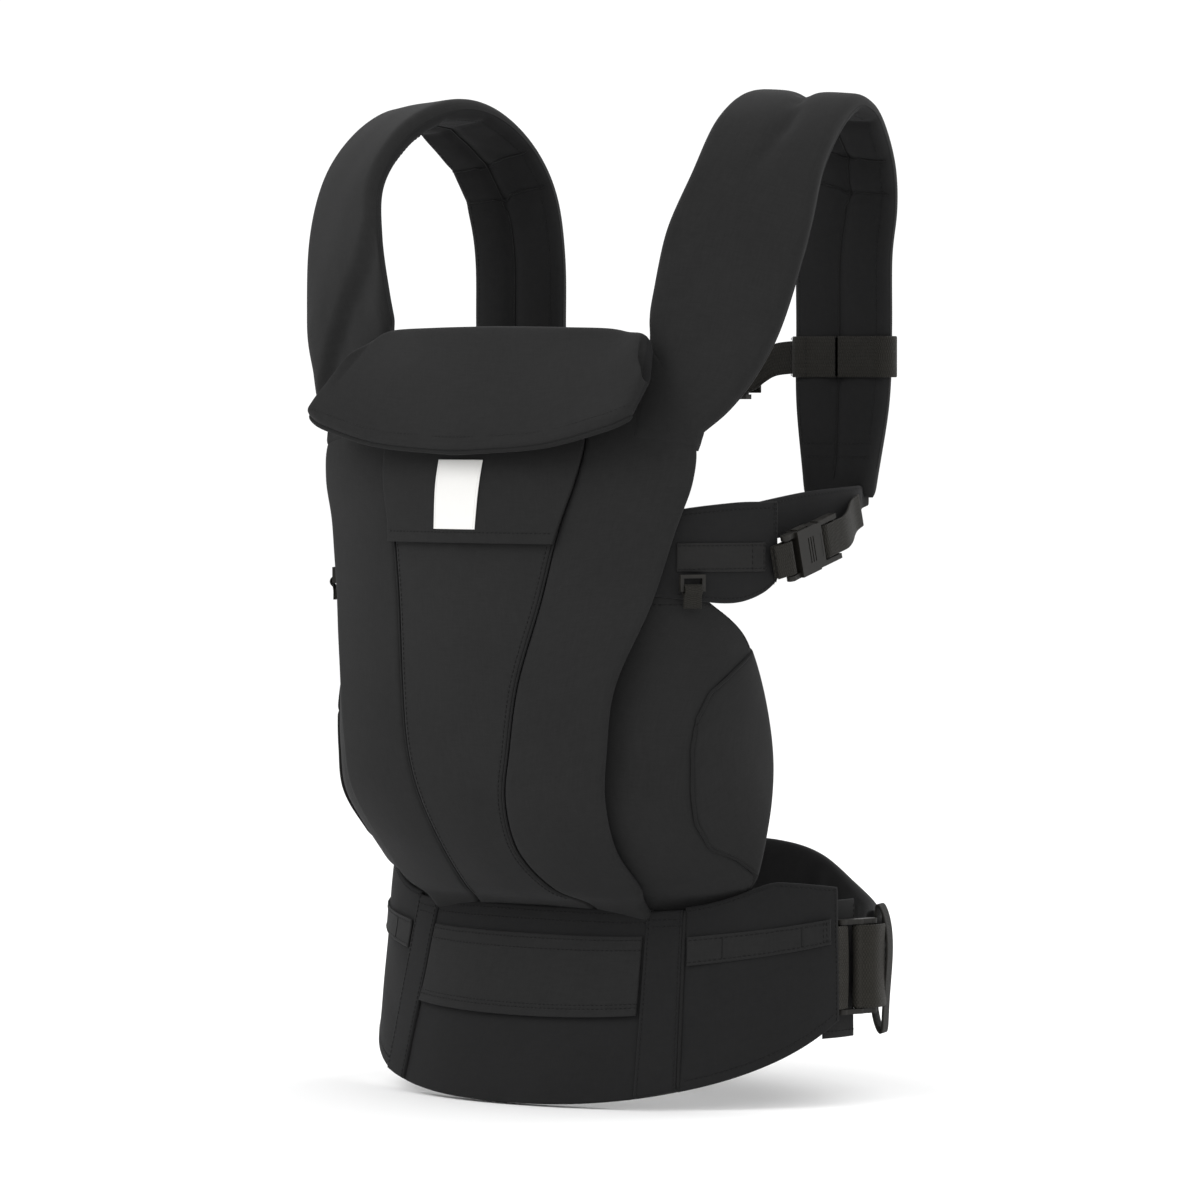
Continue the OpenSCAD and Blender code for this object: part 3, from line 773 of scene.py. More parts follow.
def tube(points: Array, radius: float, sides: int = 8) -> Form:
    """Return a round cord along points.

    Args:
        points: its centreline in millimetres.
        radius: its radius.
        sides: how many sides it has.

    Returns:
        The closed form.
    """
    way = np.gradient(points, axis=0)
    way /= np.maximum(np.linalg.norm(way, axis=1, keepdims=True), 1e-9)
    side = np.cross(way, [0.1, 0.2, 1.0])
    side /= np.linalg.norm(side, axis=1, keepdims=True)
    up = np.cross(side, way)
    turn = np.arange(sides) * 2 * np.pi / sides
    ring = side[:, None] * np.cos(turn)[None, :, None] + up[:, None] * np.sin(turn)[None, :, None]
    taper = np.ones(len(points))
    taper[[0, -1]] = 0.4
    verts = points[:, None] + ring * (radius * taper)[:, None, None]
    length = np.concatenate([[0], np.cumsum(np.linalg.norm(np.diff(points, axis=0), axis=1))]) * MM
    uvs = np.stack([np.repeat(length, sides), np.tile(turn * radius * MM, len(points))], -1)
    return ringed(verts, uvs)


def ringed(rings: Array, uvs: Array) -> Form:
    """Return the closed skin over rings of points of the same count."""
    m, n = rings.shape[:2]
    faces = [(i * n + j, i * n + (j + 1) % n, (i + 1) * n + (j + 1) % n, (i + 1) * n + j)
             for i in range(m - 1) for j in range(n)]
    faces += [tuple(range(n))[::-1], tuple((m - 1) * n + j for j in range(n))]
    return Form(rings.reshape(-1, 3), faces, uvs, np.zeros(len(faces))).outward()


def band(path: Array, across: Sequence[float] | Array, width: float, thick: float,
         sag: float = 0.0) -> Form:
    """Return a strip of webbing along a path.

    Args:
        path: its centreline in millimetres.
        across: direction of its width, one for all or one per point.
        width: its width.
        thick: its thickness.
        sag: how far its middle bellies out across the width.

    Returns:
        The closed form, thinner at its woven edges.
    """
    across = np.broadcast_to(np.asarray(across, float), path.shape)
    across = across / np.linalg.norm(across, axis=1, keepdims=True)
    way = np.gradient(path, axis=0)
    way /= np.maximum(np.linalg.norm(way, axis=1, keepdims=True), 1e-9)
    out = np.cross(way, across)
    out /= np.linalg.norm(out, axis=1, keepdims=True)
    x = np.array([-1, -0.985, -0.93, -0.6, -0.2, 0.2, 0.6, 0.93, 0.985, 1.0])
    share = np.array([0.25, 0.7, 1, 1, 1, 1, 1, 1, 0.7, 0.25])
    xs, hs = np.concatenate([x, x[::-1]]), np.concatenate([share, -share[::-1]])
    bow = sag * (1 - xs**2)
    rings = (path[:, None] + across[:, None] * (xs * width / 2)[None, :, None]
             + out[:, None] * (hs * thick / 2 + bow)[None, :, None])
    length = np.concatenate([[0], np.cumsum(np.linalg.norm(np.diff(path, axis=0), axis=1))]) * MM
    uvs = np.stack([np.repeat(length, len(xs)), np.tile(xs * width / 2 * MM, len(path))], -1)
    return ringed(rings, uvs)


class Stitches:
    """Rows of stitches, gathered into one piece."""

    def __init__(self, pitch: float = 3.0, length: float = 2.1, thick: float = 0.55) -> None:
        """Keep the sizes of a stitch in millimetres."""
        self.pitch, self.length, self.thick = pitch, length, thick
        self.forms: list[Form] = []

    def row(self, points: Array, normals: Array) -> None:
        """Sew a row.

        Args:
            points: the row's line on the cloth.
            normals: the cloth's normals there, pointing to the viewer or away.
        """
        both = resampled(np.hstack([points, normals]), self.pitch)
        p, n = both[:, :3], both[:, 3:]
        way = np.gradient(p, axis=0)
        way /= np.maximum(np.linalg.norm(way, axis=1, keepdims=True), 1e-9)
        n = n / np.maximum(np.linalg.norm(n, axis=1, keepdims=True), 1e-9)
        side = np.cross(way, n)
        h, w = self.thick * 0.5, self.thick * 0.5
        for k in range(len(p)):
            rings = []
            for at, fat in ((-0.5, 0.25), (-0.3, 1.0), (0.3, 1.0), (0.5, 0.25)):
                c = p[k] + way[k] * self.length * at
                rings.append([c + side[k] * w * fat, c + n[k] * h * fat, c - side[k] * w * fat,
                              c - n[k] * h * fat])
            self.forms.append(ringed(np.array(rings), np.zeros((16, 2))))

    def tack(self, points: Array, normals: Array) -> None:
        """Sew a bar tack, which is a row of close stitches."""
        pitch, self.pitch = self.pitch, 1.2
        self.row(points, normals)
        self.pitch = pitch


def on_form(form: Form, points: Array, lift: float = 0.1) -> tuple[Array, Array]:
    """Lay points on the skin of a form.

    Args:
        form: the form to lay them on.
        points: the points, close to its skin.
        lift: how far above the skin they end up, in millimetres.

    Returns:
        The points on the skin and the skin's normals there.
    """
    tree = BVHTree.FromPolygons(form.verts.tolist(), form.faces)
    spots, normals = [], []
    for p in points:
        spot, normal, _, _ = tree.find_nearest(Vector(p))
        spots.append(np.array(spot) + np.array(normal) * lift)
        normals.append(np.array(normal))
    return np.array(spots), np.array(normals)


# ---------------------------------------------------------------- finishes


class Net:
    """Short calls for building a node tree."""

    def __init__(self, tree: bpy.types.NodeTree) -> None:
        """Keep the tree."""
        self.tree = tree

    def node(self, kind: str, props: dict | None = None, **inputs: object) -> bpy.types.Node:
        """Add a node.

        Args:
            kind: the node's type, without its "ShaderNode" start.
            props: properties of the node.
            inputs: values or sockets for its inputs, with _ for a space, or i0, i1 for numbered ones.

        Returns:
            The new node.
        """
        n = self.tree.nodes.new("ShaderNode" + kind)
        for key, value in (props or {}).items():
            setattr(n, key, value)
        for key, value in inputs.items():
            numbered = key[0] == "i" and key[1:].isdigit()
            socket = n.inputs[int(key[1:]) if numbered else key.replace("_", " ")]
            if isinstance(value, bpy.types.NodeSocket):
                self.tree.links.new(value, socket)
            else:
                socket.default_value = value
        return n

    def math(self, operation: str, *values: object) -> bpy.types.NodeSocket:
        """Return the result of a math node on values or sockets."""
        return self.node("Math", {"operation": operation},
                         **{f"i{k}": v for k, v in enumerate(values)}).outputs[0]

    def ramp(self, value: bpy.types.NodeSocket, low: float, high: float, to_low: float = 0.0,
             to_high: float = 1.0) -> bpy.types.NodeSocket:
        """Return value mapped from low..high to to_low..to_high, clamped."""
        return self.node("MapRange", {"clamp": True}, i0=value, i1=low, i2=high, i3=to_low,
                         i4=to_high).outputs[0]

    def tone(self, colour: Sequence[float], value: bpy.types.NodeSocket) -> bpy.types.NodeSocket:
        """Return a colour scaled by a value."""
        return self.node("VectorMath", {"operation": "SCALE"}, i0=tuple(colour[:3]), Scale=value).outputs[0]


def group(name: str, inputs: Sequence[tuple[str, str, object]], outputs: Sequence[str],
          fill: Callable[[Net, bpy.types.Node], dict[str, bpy.types.NodeSocket]]) -> bpy.types.NodeTree:
    """Return a shader node group, built once.

    Args:
        name: the group's name.
        inputs: name, "Vector" or "Float", and default of each input.
        outputs: names of its value outputs.
        fill: makes the nodes and returns the socket for each output.

    Returns:
        The group.
    """
    tree = bpy.data.node_groups.get(name)
    if tree:
        return tree
    tree = bpy.data.node_groups.new(name, "ShaderNodeTree")
    for label, kind, default in inputs:
        s = tree.interface.new_socket(name=label, in_out="INPUT", socket_type=f"NodeSocket{kind}")
        s.default_value = default
    for label in outputs:
        tree.interface.new_socket(name=label, in_out="OUTPUT", socket_type="NodeSocketFloat")
    entry, leave = tree.nodes.new("NodeGroupInput"), tree.nodes.new("NodeGroupOutput")
    for label, socket in fill(Net(tree), entry).items():
        tree.links.new(socket, leave.inputs[label])
    return tree


def weave_group() -> bpy.types.NodeTree:
    """Return the group for woven cloth: crossing threads with uneven slubs, and painted shade in its tone
    between the threads.
    """

    def fill(net: Net, entry: bpy.types.Node) -> dict[str, bpy.types.NodeSocket]:
        """Make the threads."""
        turns = net.math("DIVIDE", 2 * math.pi, entry.outputs["Pitch"])
        at = net.node("VectorMath", {"operation": "SCALE"}, i0=entry.outputs["Vector"],
                      Scale=turns).outputs[0]
        xyz = net.node("SeparateXYZ", i0=at)
        warp = net.math("SINE", net.math("ADD", xyz.outputs[0], xyz.outputs[1]))
        weft = net.math("SINE", net.math("SUBTRACT", xyz.outputs[0],
                                         net.math("MULTIPLY", xyz.outputs[1], 0.5)))
        threads = net.math("MULTIPLY_ADD", net.math("MULTIPLY", warp, weft), 0.5, 0.5)
        slubs = []
        for stretch in ((900.0, 90.0, 1.0), (80.0, 700.0, 1.0)):
            v = net.node("VectorMath", {"operation": "MULTIPLY"}, i0=entry.outputs["Vector"],
                         i1=stretch).outputs[0]
            slubs.append(net.node("TexNoise", Vector=v, Scale=1.0, Detail=2.0, Roughness=0.6).outputs[0])
        slub = net.math("MULTIPLY", net.math("ADD", *slubs), 0.5)
        height = net.math("ADD", net.math("MULTIPLY", threads, 0.6), net.math("MULTIPLY", slub, 0.4))
        swing = net.math("MULTIPLY", net.math("SUBTRACT", slub, 0.5), entry.outputs["Slub"])
        # Tone: random slub drift, plus painted shade that darkens the hollows between the crossing threads.
        tone = net.math("ADD", net.math("ADD", 1.0, swing), net.math("MULTIPLY", threads, 0.06))
        return {"Height": height, "Tone": tone}

    return group("WeaveAndPaintedShade", [("Vector", "Vector", (0, 0, 0)), ("Pitch", "Float", 0.0008),
                           ("Slub", "Float", 0.3)], ["Height", "Tone"], fill)


def rib_group() -> bpy.types.NodeTree:
    """Return the group for webbing: weft ribs crossed by warp rows, offset like bricks, with painted shade in
    its tone that darkens the hollows between the ribs.
    """

    def fill(net: Net, entry: bpy.types.Node) -> dict[str, bpy.types.NodeSocket]:
        """Make the ribs."""
        xyz = net.node("SeparateXYZ", i0=entry.outputs["Vector"])
        rows = net.math("DIVIDE", xyz.outputs[1], entry.outputs["Warp"])
        odd = net.math("MULTIPLY", net.math("MODULO", net.math("FLOOR", net.math("ABSOLUTE", rows)), 2.0),
                       0.5)
        ribs = net.math("ADD", net.math("DIVIDE", xyz.outputs[0], entry.outputs["Rib"]),
                        net.math("MULTIPLY", odd, entry.outputs["Offset"]))
        rib = net.math("ABSOLUTE", net.math("SINE", net.math("MULTIPLY", ribs, math.pi)))
        warp = net.math("ABSOLUTE", net.math("SINE", net.math("MULTIPLY", rows, math.pi)))
        height = net.math("MULTIPLY", net.math("POWER", rib, 0.6),
                          net.math("MULTIPLY_ADD", net.math("POWER", warp, 0.5), 0.45, 0.55))
        v = net.node("VectorMath", {"operation": "MULTIPLY"}, i0=entry.outputs["Vector"],
                     i1=(60.0, 500.0, 1.0)).outputs[0]
        noise = net.node("TexNoise", Vector=v, Scale=1.0, Detail=3.0).outputs[0]
        # Painted shade: the tone follows the rib height, darker in the hollows between the ribs, plus a
        # random drift of colour.
        tone = net.math("ADD", net.math("MULTIPLY_ADD", height, 0.5, 0.62),
                        net.math("MULTIPLY", net.math("SUBTRACT", noise, 0.5), 0.3))
        return {"Height": height, "Tone": tone}

    return group("WebbingRibsAndPaintedShade", [("Vector", "Vector", (0, 0, 0)), ("Rib", "Float", 0.0018),
                                 ("Warp", "Float", 0.0016), ("Offset", "Float", 1.0)], ["Height", "Tone"],
                 fill)


def mottle_group() -> bpy.types.NodeTree:
    """Return the group for slow colour variation and specks of lint."""

    def fill(net: Net, entry: bpy.types.Node) -> dict[str, bpy.types.NodeSocket]:
        """Make the variation."""
        broad = net.node("TexNoise", Vector=entry.outputs["Vector"], Scale=14.0, Detail=4.0,
                         Roughness=0.55).outputs[0]
        fine = net.node("TexNoise", Vector=entry.outputs["Vector"], Scale=260.0, Detail=3.0,
                        Roughness=0.7).outputs[0]
        mixed = net.math("ADD", net.math("MULTIPLY", broad, 0.6), net.math("MULTIPLY", fine, 0.4))
        tone = net.math("MULTIPLY_ADD", net.math("SUBTRACT", mixed, 0.5), entry.outputs["Amount"], 1.0)
        specks = net.node("TexNoise", Vector=entry.outputs["Vector"], Scale=900.0, Detail=1.0).outputs[0]
        lint = net.math("MULTIPLY", net.ramp(specks, 0.74, 0.8), entry.outputs["Lint"])
        return {"Tone": net.math("ADD", tone, lint), "Broad": broad}

    return group("Mottle", [("Vector", "Vector", (0, 0, 0)), ("Amount", "Float", 0.5),
                            ("Lint", "Float", 0.3)], ["Tone", "Broad"], fill)


def wear_group() -> bpy.types.NodeTree:
    """Return the group for edges that handling has rubbed."""

    def fill(net: Net, entry: bpy.types.Node) -> dict[str, bpy.types.NodeSocket]:
        """Make the mask."""
        sharp = net.ramp(net.node("NewGeometry").outputs["Pointiness"], 0.53, 0.62)
        patchy = net.node("TexNoise", Vector=entry.outputs["Vector"], Scale=120.0, Detail=4.0).outputs[0]
        return {"Mask": net.math("MULTIPLY", net.math("MULTIPLY", sharp, net.ramp(patchy, 0.35, 0.65)),
                                 entry.outputs["Amount"])}

    return group("EdgeWear", [("Vector", "Vector", (0, 0, 0)), ("Amount", "Float", 0.5)], ["Mask"], fill)


class Finish(ABC):
    """A surface finish that makes its material once."""

    name: str

    @abstractmethod
    def dress(self, net: Net, shader: bpy.types.Node) -> None:
        """Add the finish's nodes to a new material."""

    def material(self) -> bpy.types.Material:
        """Return the material, made on first use."""
        found = bpy.data.materials.get(self.name)
        if found:
            return found
        made = bpy.data.materials.new(self.name)
        made.use_nodes = True
        self.dress(Net(made.node_tree), made.node_tree.nodes["Principled BSDF"])
        return made

    def placed(self, net: Net, tree: bpy.types.NodeTree, **inputs: object) -> bpy.types.Node:
        """Return a group node in the material with these inputs."""
        return net.node("Group", {"node_tree": tree}, **inputs)


@dataclass(frozen=True)
class Cloth(Finish):
    """Woven cloth.

    Attributes:
        name: the material's name.
        colour: its base colour, linear.
        pitch: distance between threads, in metres.
        relief: height of the weave, in metres.
        slub: how uneven its threads are.
        mottle: how much its colour drifts.
        lint: how much lint it holds.
        sheen: strength of the fibres' sheen.
        roughness: its roughness.
    """

    name: str
    colour: tuple[float, float, float]
    pitch: float = 0.0009
    relief: float = 0.00016
    slub: float = 0.5
    mottle: float = 0.55
    lint: float = 0.25
    sheen: float = 0.22
    roughness: float = 0.86

    def dress(self, net: Net, shader: bpy.types.Node) -> None:
        """Add the weave, the drift of colour and the bump."""
        spot = net.node("TexCoord")
        weave = self.placed(net, weave_group(), Vector=spot.outputs["UV"], Pitch=self.pitch, Slub=self.slub)
        drift = self.placed(net, mottle_group(), Vector=spot.outputs["Object"], Amount=self.mottle,
                            Lint=self.lint)
        # The weave tone carries painted shade between the threads; the mottle is random drift and lint.
        tone = net.math("MULTIPLY", weave.outputs["Tone"], drift.outputs["Tone"])
        net.tree.links.new(net.tone(self.colour, tone), shader.inputs["Base Color"])
        rough = net.ramp(weave.outputs["Height"], 0.2, 0.9, self.roughness + 0.07, self.roughness - 0.05)
        net.tree.links.new(rough, shader.inputs["Roughness"])
        soft = net.node("Bump", Strength=0.35, Distance=0.0012, Height=drift.outputs["Broad"])
        bump = net.node("Bump", Strength=0.6, Distance=self.relief, Height=weave.outputs["Height"],
                        Normal=soft.outputs[0])
        net.tree.links.new(bump.outputs[0], shader.inputs["Normal"])
        shader.inputs["Sheen Weight"].default_value = self.sheen
        shader.inputs["Sheen Roughness"].default_value = 0.5
        shader.inputs["Sheen Tint"].default_value = (0.8, 0.8, 0.82, 1)
        shader.inputs["Specular IOR Level"].default_value = 0.09


@dataclass(frozen=True)
class Webbing(Finish):
    """Woven tape with ribs across it.

    Attributes:
        name: the material's name.
        colour: its base colour, linear.
        rib: distance between ribs, in metres.
        warp: width of a row of warp, in metres.
        offset: how far neighbouring rows are shifted, 1 for half a rib.
        relief: height of the ribs, in metres.
        roughness: its roughness.
    """

    name: str
    colour: tuple[float, float, float]
    rib: float = 0.0018
    warp: float = 0.0016
    offset: float = 1.0
    relief: float = 0.0003
    roughness: float = 0.6

    def dress(self, net: Net, shader: bpy.types.Node) -> None:
        """Add the ribs, their shading and the bump."""
        spot = net.node("TexCoord")
        ribs = self.placed(net, rib_group(), Vector=spot.outputs["UV"], Rib=self.rib, Warp=self.warp,
                           Offset=self.offset)
        drift = self.placed(net, mottle_group(), Vector=spot.outputs["Object"], Amount=0.5, Lint=0.15)
        # The rib tone carries painted shade, darker in the hollows between the ribs.
        tone = net.math("MULTIPLY", ribs.outputs["Tone"], drift.outputs["Tone"])
        net.tree.links.new(net.tone(self.colour, tone), shader.inputs["Base Color"])
        rough = net.ramp(ribs.outputs["Height"], 0.0, 1.0, self.roughness + 0.2, self.roughness)
        net.tree.links.new(rough, shader.inputs["Roughness"])
        bump = net.node("Bump", Strength=0.8, Distance=self.relief, Height=ribs.outputs["Height"])
        net.tree.links.new(bump.outputs[0], shader.inputs["Normal"])
        shader.inputs["Sheen Weight"].default_value = 0.02
        shader.inputs["Specular IOR Level"].default_value = 0.15


@dataclass(frozen=True)
class Moulded(Finish):
    """Moulded plastic with a fine spark-eroded grain.

    Attributes:
        name: the material's name.
        colour: its base colour, linear.
        rubbed: colour of its rubbed edges.
        roughness: its roughness.
        grain: height of the grain, in metres.
    """

    name: str
    colour: tuple[float, float, float]
    rubbed: tuple[float, float, float]
    roughness: float = 0.38
    grain: float = 0.00005

    def dress(self, net: Net, shader: bpy.types.Node) -> None:
        """Add the grain, the flow marks and the rubbed edges."""
        spot = net.node("TexCoord").outputs["Object"]
        drift = self.placed(net, mottle_group(), Vector=spot, Amount=0.35, Lint=0.1)
        wear = self.placed(net, wear_group(), Vector=spot, Amount=0.7)
        base = net.tone(self.colour, drift.outputs["Tone"])
        mixed = net.node("Mix", {"data_type": "RGBA"}, i0=wear.outputs["Mask"], i6=base, i7=(*self.rubbed, 1))
        net.tree.links.new(mixed.outputs[2], shader.inputs["Base Color"])
        grain = net.node("TexNoise", Vector=spot, Scale=2600.0, Detail=2.0).outputs[0]
        rough = net.math("ADD", net.ramp(grain, 0.3, 0.7, self.roughness - 0.05, self.roughness + 0.1),
                         net.math("MULTIPLY", wear.outputs["Mask"], 0.2))
        net.tree.links.new(rough, shader.inputs["Roughness"])
        bump = net.node("Bump", Strength=0.5, Distance=self.grain, Height=grain)
        net.tree.links.new(bump.outputs[0], shader.inputs["Normal"])
        shader.inputs["Specular IOR Level"].default_value = 0.22


CANVAS = Cloth("canvas_black", (0.0134, 0.0134, 0.0134), sheen=0.05)
CANVAS_PALE = Cloth("canvas_band", (0.0142, 0.014, 0.0138), pitch=0.0008, slub=0.4, sheen=0.05)
LINING = Cloth("lining_black", (0.0108, 0.0108, 0.011), pitch=0.0006, relief=0.0001, slub=0.3, sheen=0.04,
               roughness=0.9)
PIPING = Cloth("piping_black", (0.011, 0.011, 0.011), sheen=0.04, pitch=0.0005, relief=0.00008, slub=0.2,
               mottle=0.3)
THREAD = Cloth("thread_black", (0.007, 0.007, 0.007), pitch=0.0003, relief=0.00006, slub=0.2, mottle=0.4,
               sheen=0.03, roughness=0.6)
TAPE = Webbing("webbing_black", (0.0165, 0.0152, 0.0122), relief=0.0005)
FINE_TAPE = Webbing("webbing_fine", (0.0115, 0.0106, 0.0085), rib=0.0013, warp=0.0021, relief=0.0005)
ELASTIC = Webbing("elastic_black", (0.0095, 0.0088, 0.0072), rib=0.0009, warp=0.0009, offset=0.0,
                  roughness=0.7)
LABEL = Cloth("label_satin", (0.66, 0.655, 0.64), pitch=0.0004, relief=0.00005, slub=0.06, mottle=0.08,
              lint=0.0, sheen=0.1, roughness=0.5)
PLASTIC = Moulded("plastic_black", (0.0068, 0.0062, 0.005), (0.02, 0.0185, 0.016), roughness=0.42)


# ---------------------------------------------------------------- sub-assemblies


class Assembly:
    """A sub-assembly: it places its pieces and reports them."""

    body = "carrier"

    def place(self, form: Form, name: str, finishes: Sequence[Finish], slot: str, body: str | None = None,
              replaces: Sequence[str] = (), smooth: int = 1) -> bpy.types.Object:
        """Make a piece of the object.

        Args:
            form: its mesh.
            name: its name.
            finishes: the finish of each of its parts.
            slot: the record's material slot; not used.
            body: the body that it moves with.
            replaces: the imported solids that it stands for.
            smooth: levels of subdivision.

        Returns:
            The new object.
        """
        obj = form.mesh(name)
        for f in finishes:
            obj.data.materials.append(f.material())
        if smooth:
            sub = obj.modifiers.new("Soften", "SUBSURF")
            sub.levels = sub.render_levels = smooth
        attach(obj, body or self.body)
        if replaces:
            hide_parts(*replaces)
        log.info("%s: %d faces", name, len(form.faces))
        return obj

    def pad(self, form: Form, name: str, fill: float, replaces: Sequence[str] = (),
            finishes: Sequence[Finish] = (), slot: str = "cloth",
            body: str | None = None) -> bpy.types.Object:
        """The arguments are as for place, and fill, its tightness, is not used."""
        obj = self.place(form, name, finishes or (CANVAS, LINING), slot, body, replaces)
        return obj

    def cloth(self, shell: Shell, form: Form, name: str, rests_on: Sequence[str],
              replaces: Sequence[str] = (), finishes: Sequence[Finish] = (), slot: str = "cloth",
              body: str | None = None) -> bpy.types.Object:
        obj = self.place(form, name, finishes or (CANVAS, CANVAS), slot, body, replaces)
        width, length = shell.size()
        area = shell.area()
        log.info("%s: cut %.0f x %.0f mm", name, width / MM, length / MM)
        return obj

    def sewing(self, stitches: Stitches, name: str, body: str | None = None, side: Side = Side.LEFT) -> None:
        """Place rows of stitches as one piece."""
        if stitches.forms:
            self.place(joined(stitches.forms).mirrored(side), name, (THREAD,), "cloth", body, smooth=0)


def sewn(stitches: Stitches, form: Form, shell: Shell, path: Sequence[tuple[float, float]],
         height: float) -> None:
    """Sew a row of stitches on a form.

    Args:
        stitches: where the row is gathered.
        form: the finished form.
        shell: the shell that it was made from.
        path: (u, v) points of the row.
        height: height near that face.
    """
    points, _ = shell.line(path, height)
    stitches.row(*on_form(form, resampled(points, 3.0)))


@dataclass
class BodyPanel(Assembly):
    """The padded front panel with its two long seams, its top tab and its label.

    Attributes:
        thickness: how thick the padding is.
        foot: row where the panel starts, behind the belt.
        top: its last row.
        tab_rows: first and last row of the overlay.
        label_rows: first and last row of the label.
        label_stitch_rows: rows that its two lines of stitches pass through.
        label_middle: how far the label is off the middle.
        label_width: the label's width.
        label_hem: how far its stitches are from its edge.
        half_width: the panel's half width at the label.
    """

    thickness: float = 6.0
    foot: float = -0.75
    top: float = 11.0
    tab_rows: tuple[float, float] = (6.78, 9.6)
    label_rows: tuple[float, float] = (6.99, 8.43)
    label_stitch_rows: tuple[float, ...] = (7.03, 7.7, 8.39)
    label_middle: float = -7.0
    label_width: float = 33.0
    label_hem: float = 1.3
    half_width: float = 137.0

    def build(self) -> None:
        """Build every piece of the panel."""
        stitches = Stitches()
        centre = Shell(PANEL, self.foot, self.top, lambda u: -panel_seam(u) + 0.003,
                       lambda u: panel_seam(u) - 0.003, 0, self.thickness, edge=2.0, step=6, crown=0.8,
                       waves=0.45, wavelength=90, seed=3)
        form = centre.form()
        self.pad(form, "panel_centre", 0.35, ["front_panel"])
        right_row = [(t, float(panel_seam(t)) - 3.6 / float(PANEL.rows(t)[1]))
                     for t in np.arange(0.4, 6.9, 0.4)]
        sewn(stitches, form, centre, right_row, 0)
        sewn(stitches, form, centre, [(t, -v) for t, v in right_row], 0)
        for side in Side:
            strip = Shell(PANEL, self.foot, self.top, lambda u: panel_seam(u) + 0.003, constant(1.01), 0.2,
                          self.thickness, edge=3.0, step=6, crown=1.2, waves=0.5, wavelength=80,
                          seed=5 + side.value, creases=[Crease([(8.9, 0.62), (9.35, 0.8), (9.7, 1.0)], 0.8,
                                                               2.0, fade=0.2)])
            f = strip.form()
            self.pad(f.mirrored(side), f"panel_band_{side.word}", 0.35, ["front_panel"])
            points, _ = centre.line([(t, float(panel_seam(t))) for t in np.arange(0.05, 11, 0.5)], 0.5)
            self.place(tube(points, 0.7).mirrored(side), f"panel_seam_{side.word}", (PIPING,), "cloth",
                       smooth=0)
        self._tab(stitches)
        lining = Shell(PANEL, 0.5, 10.5, constant(-0.93), constant(0.93), 6.6, 8.0, edge=1.2, step=9,
                       waves=0.2)
        self.cloth(lining, lining.form(), "panel_lining_sheet", ["panel_centre"], ["panel_lining"],
                   (LINING, LINING), "lining")
        self.sewing(stitches, "panel_stitches")

    def _tab(self, stitches: Stitches) -> None:
        """Build the overlay at the top with its free lower edge, and the label on it."""
        low, high = self.tab_rows
        tab = Shell(PANEL, low, high, lambda u: -panel_seam(u) - 0.006, lambda u: panel_seam(u) + 0.012, -3.4,
                    -1.6, edge=0.9, step=6, waves=0.2, wavelength=60, lips=(-1.7, 0, 0, 0), seed=8)
        form = tab.form()
        self.cloth(tab, form, "centre_tab_sheet", ["panel_centre"], ["centre_tab"])
        edge = [(low + 0.16, v) for v in np.linspace(-0.46, 0.46, 12)]
        sewn(stitches, form, tab, edge, -3.6)
        left, right = (self.label_middle + sign * self.label_width / 2 for sign in (-1, 1))
        label = Shell(PANEL, *self.label_rows, constant(left / self.half_width),
                      constant(right / self.half_width), -4.4, -3.7, edge=0.4, step=4, waves=0.1,
                      wavelength=40, seed=9)
        f = label.form()
        self.cloth(label, f, "label_cloth", ["centre_tab_sheet"], ["label_patch"], (LABEL, LABEL), "label")
        thread = Stitches(pitch=1.6, length=1.2, thick=0.28)
        for x in (left + self.label_hem, right - self.label_hem):
            sewn(thread, f, label, [(row, x / self.half_width) for row in self.label_stitch_rows], -4.5)
        self.place(joined(thread.forms), "label_stitches", (LABEL,), "label", smooth=0)


@dataclass
class HeadSupport(Assembly):
    """The pillow that folds down over the panel's top edge.

    Attributes:
        thickness: how thick the pillow is.
        piping: radius of its piping.
    """

    thickness: float = 10.4
    piping: float = 1.7
    body = "head_support"

    def build(self) -> None:
        """Build the pillow and its piping."""
        pillow = Shell(HEAD, -4.04, 4.04, constant(-1.03), constant(1), 0.4, self.thickness, edge=4.6,
                       step=6.5, crown=0.6, waves=0.3, wavelength=110, puff=Puff(pressure=4, cap=3.2),
                       seed=21)
        form = pillow.form()
        self.pad(form, "head_pillow", 0.6, ["head_support"], (LINING, CANVAS))
        t = np.linspace(-4, 4, 80)
        points = HEAD.lift(t, -1.02 + 0 * t, 4.6 + 0 * t) + [0, 0.0, -0.9]
        self.place(tube(resampled(points, 3), self.piping), "head_pillow_piping", (PIPING,), "cloth",
                   replaces=["head_support_piping"], smooth=1)
        stitches = Stitches(pitch=2.8, length=1.8, thick=0.4)
        inset = [(float(a), -0.86) for a in np.linspace(-3.8, 3.8, 40)]
        points, _ = pillow.line(inset, 9.5)
        stitches.row(*on_form(form, resampled(points, 3.0), -0.05))
        self.sewing(stitches, "head_pillow_stitches")


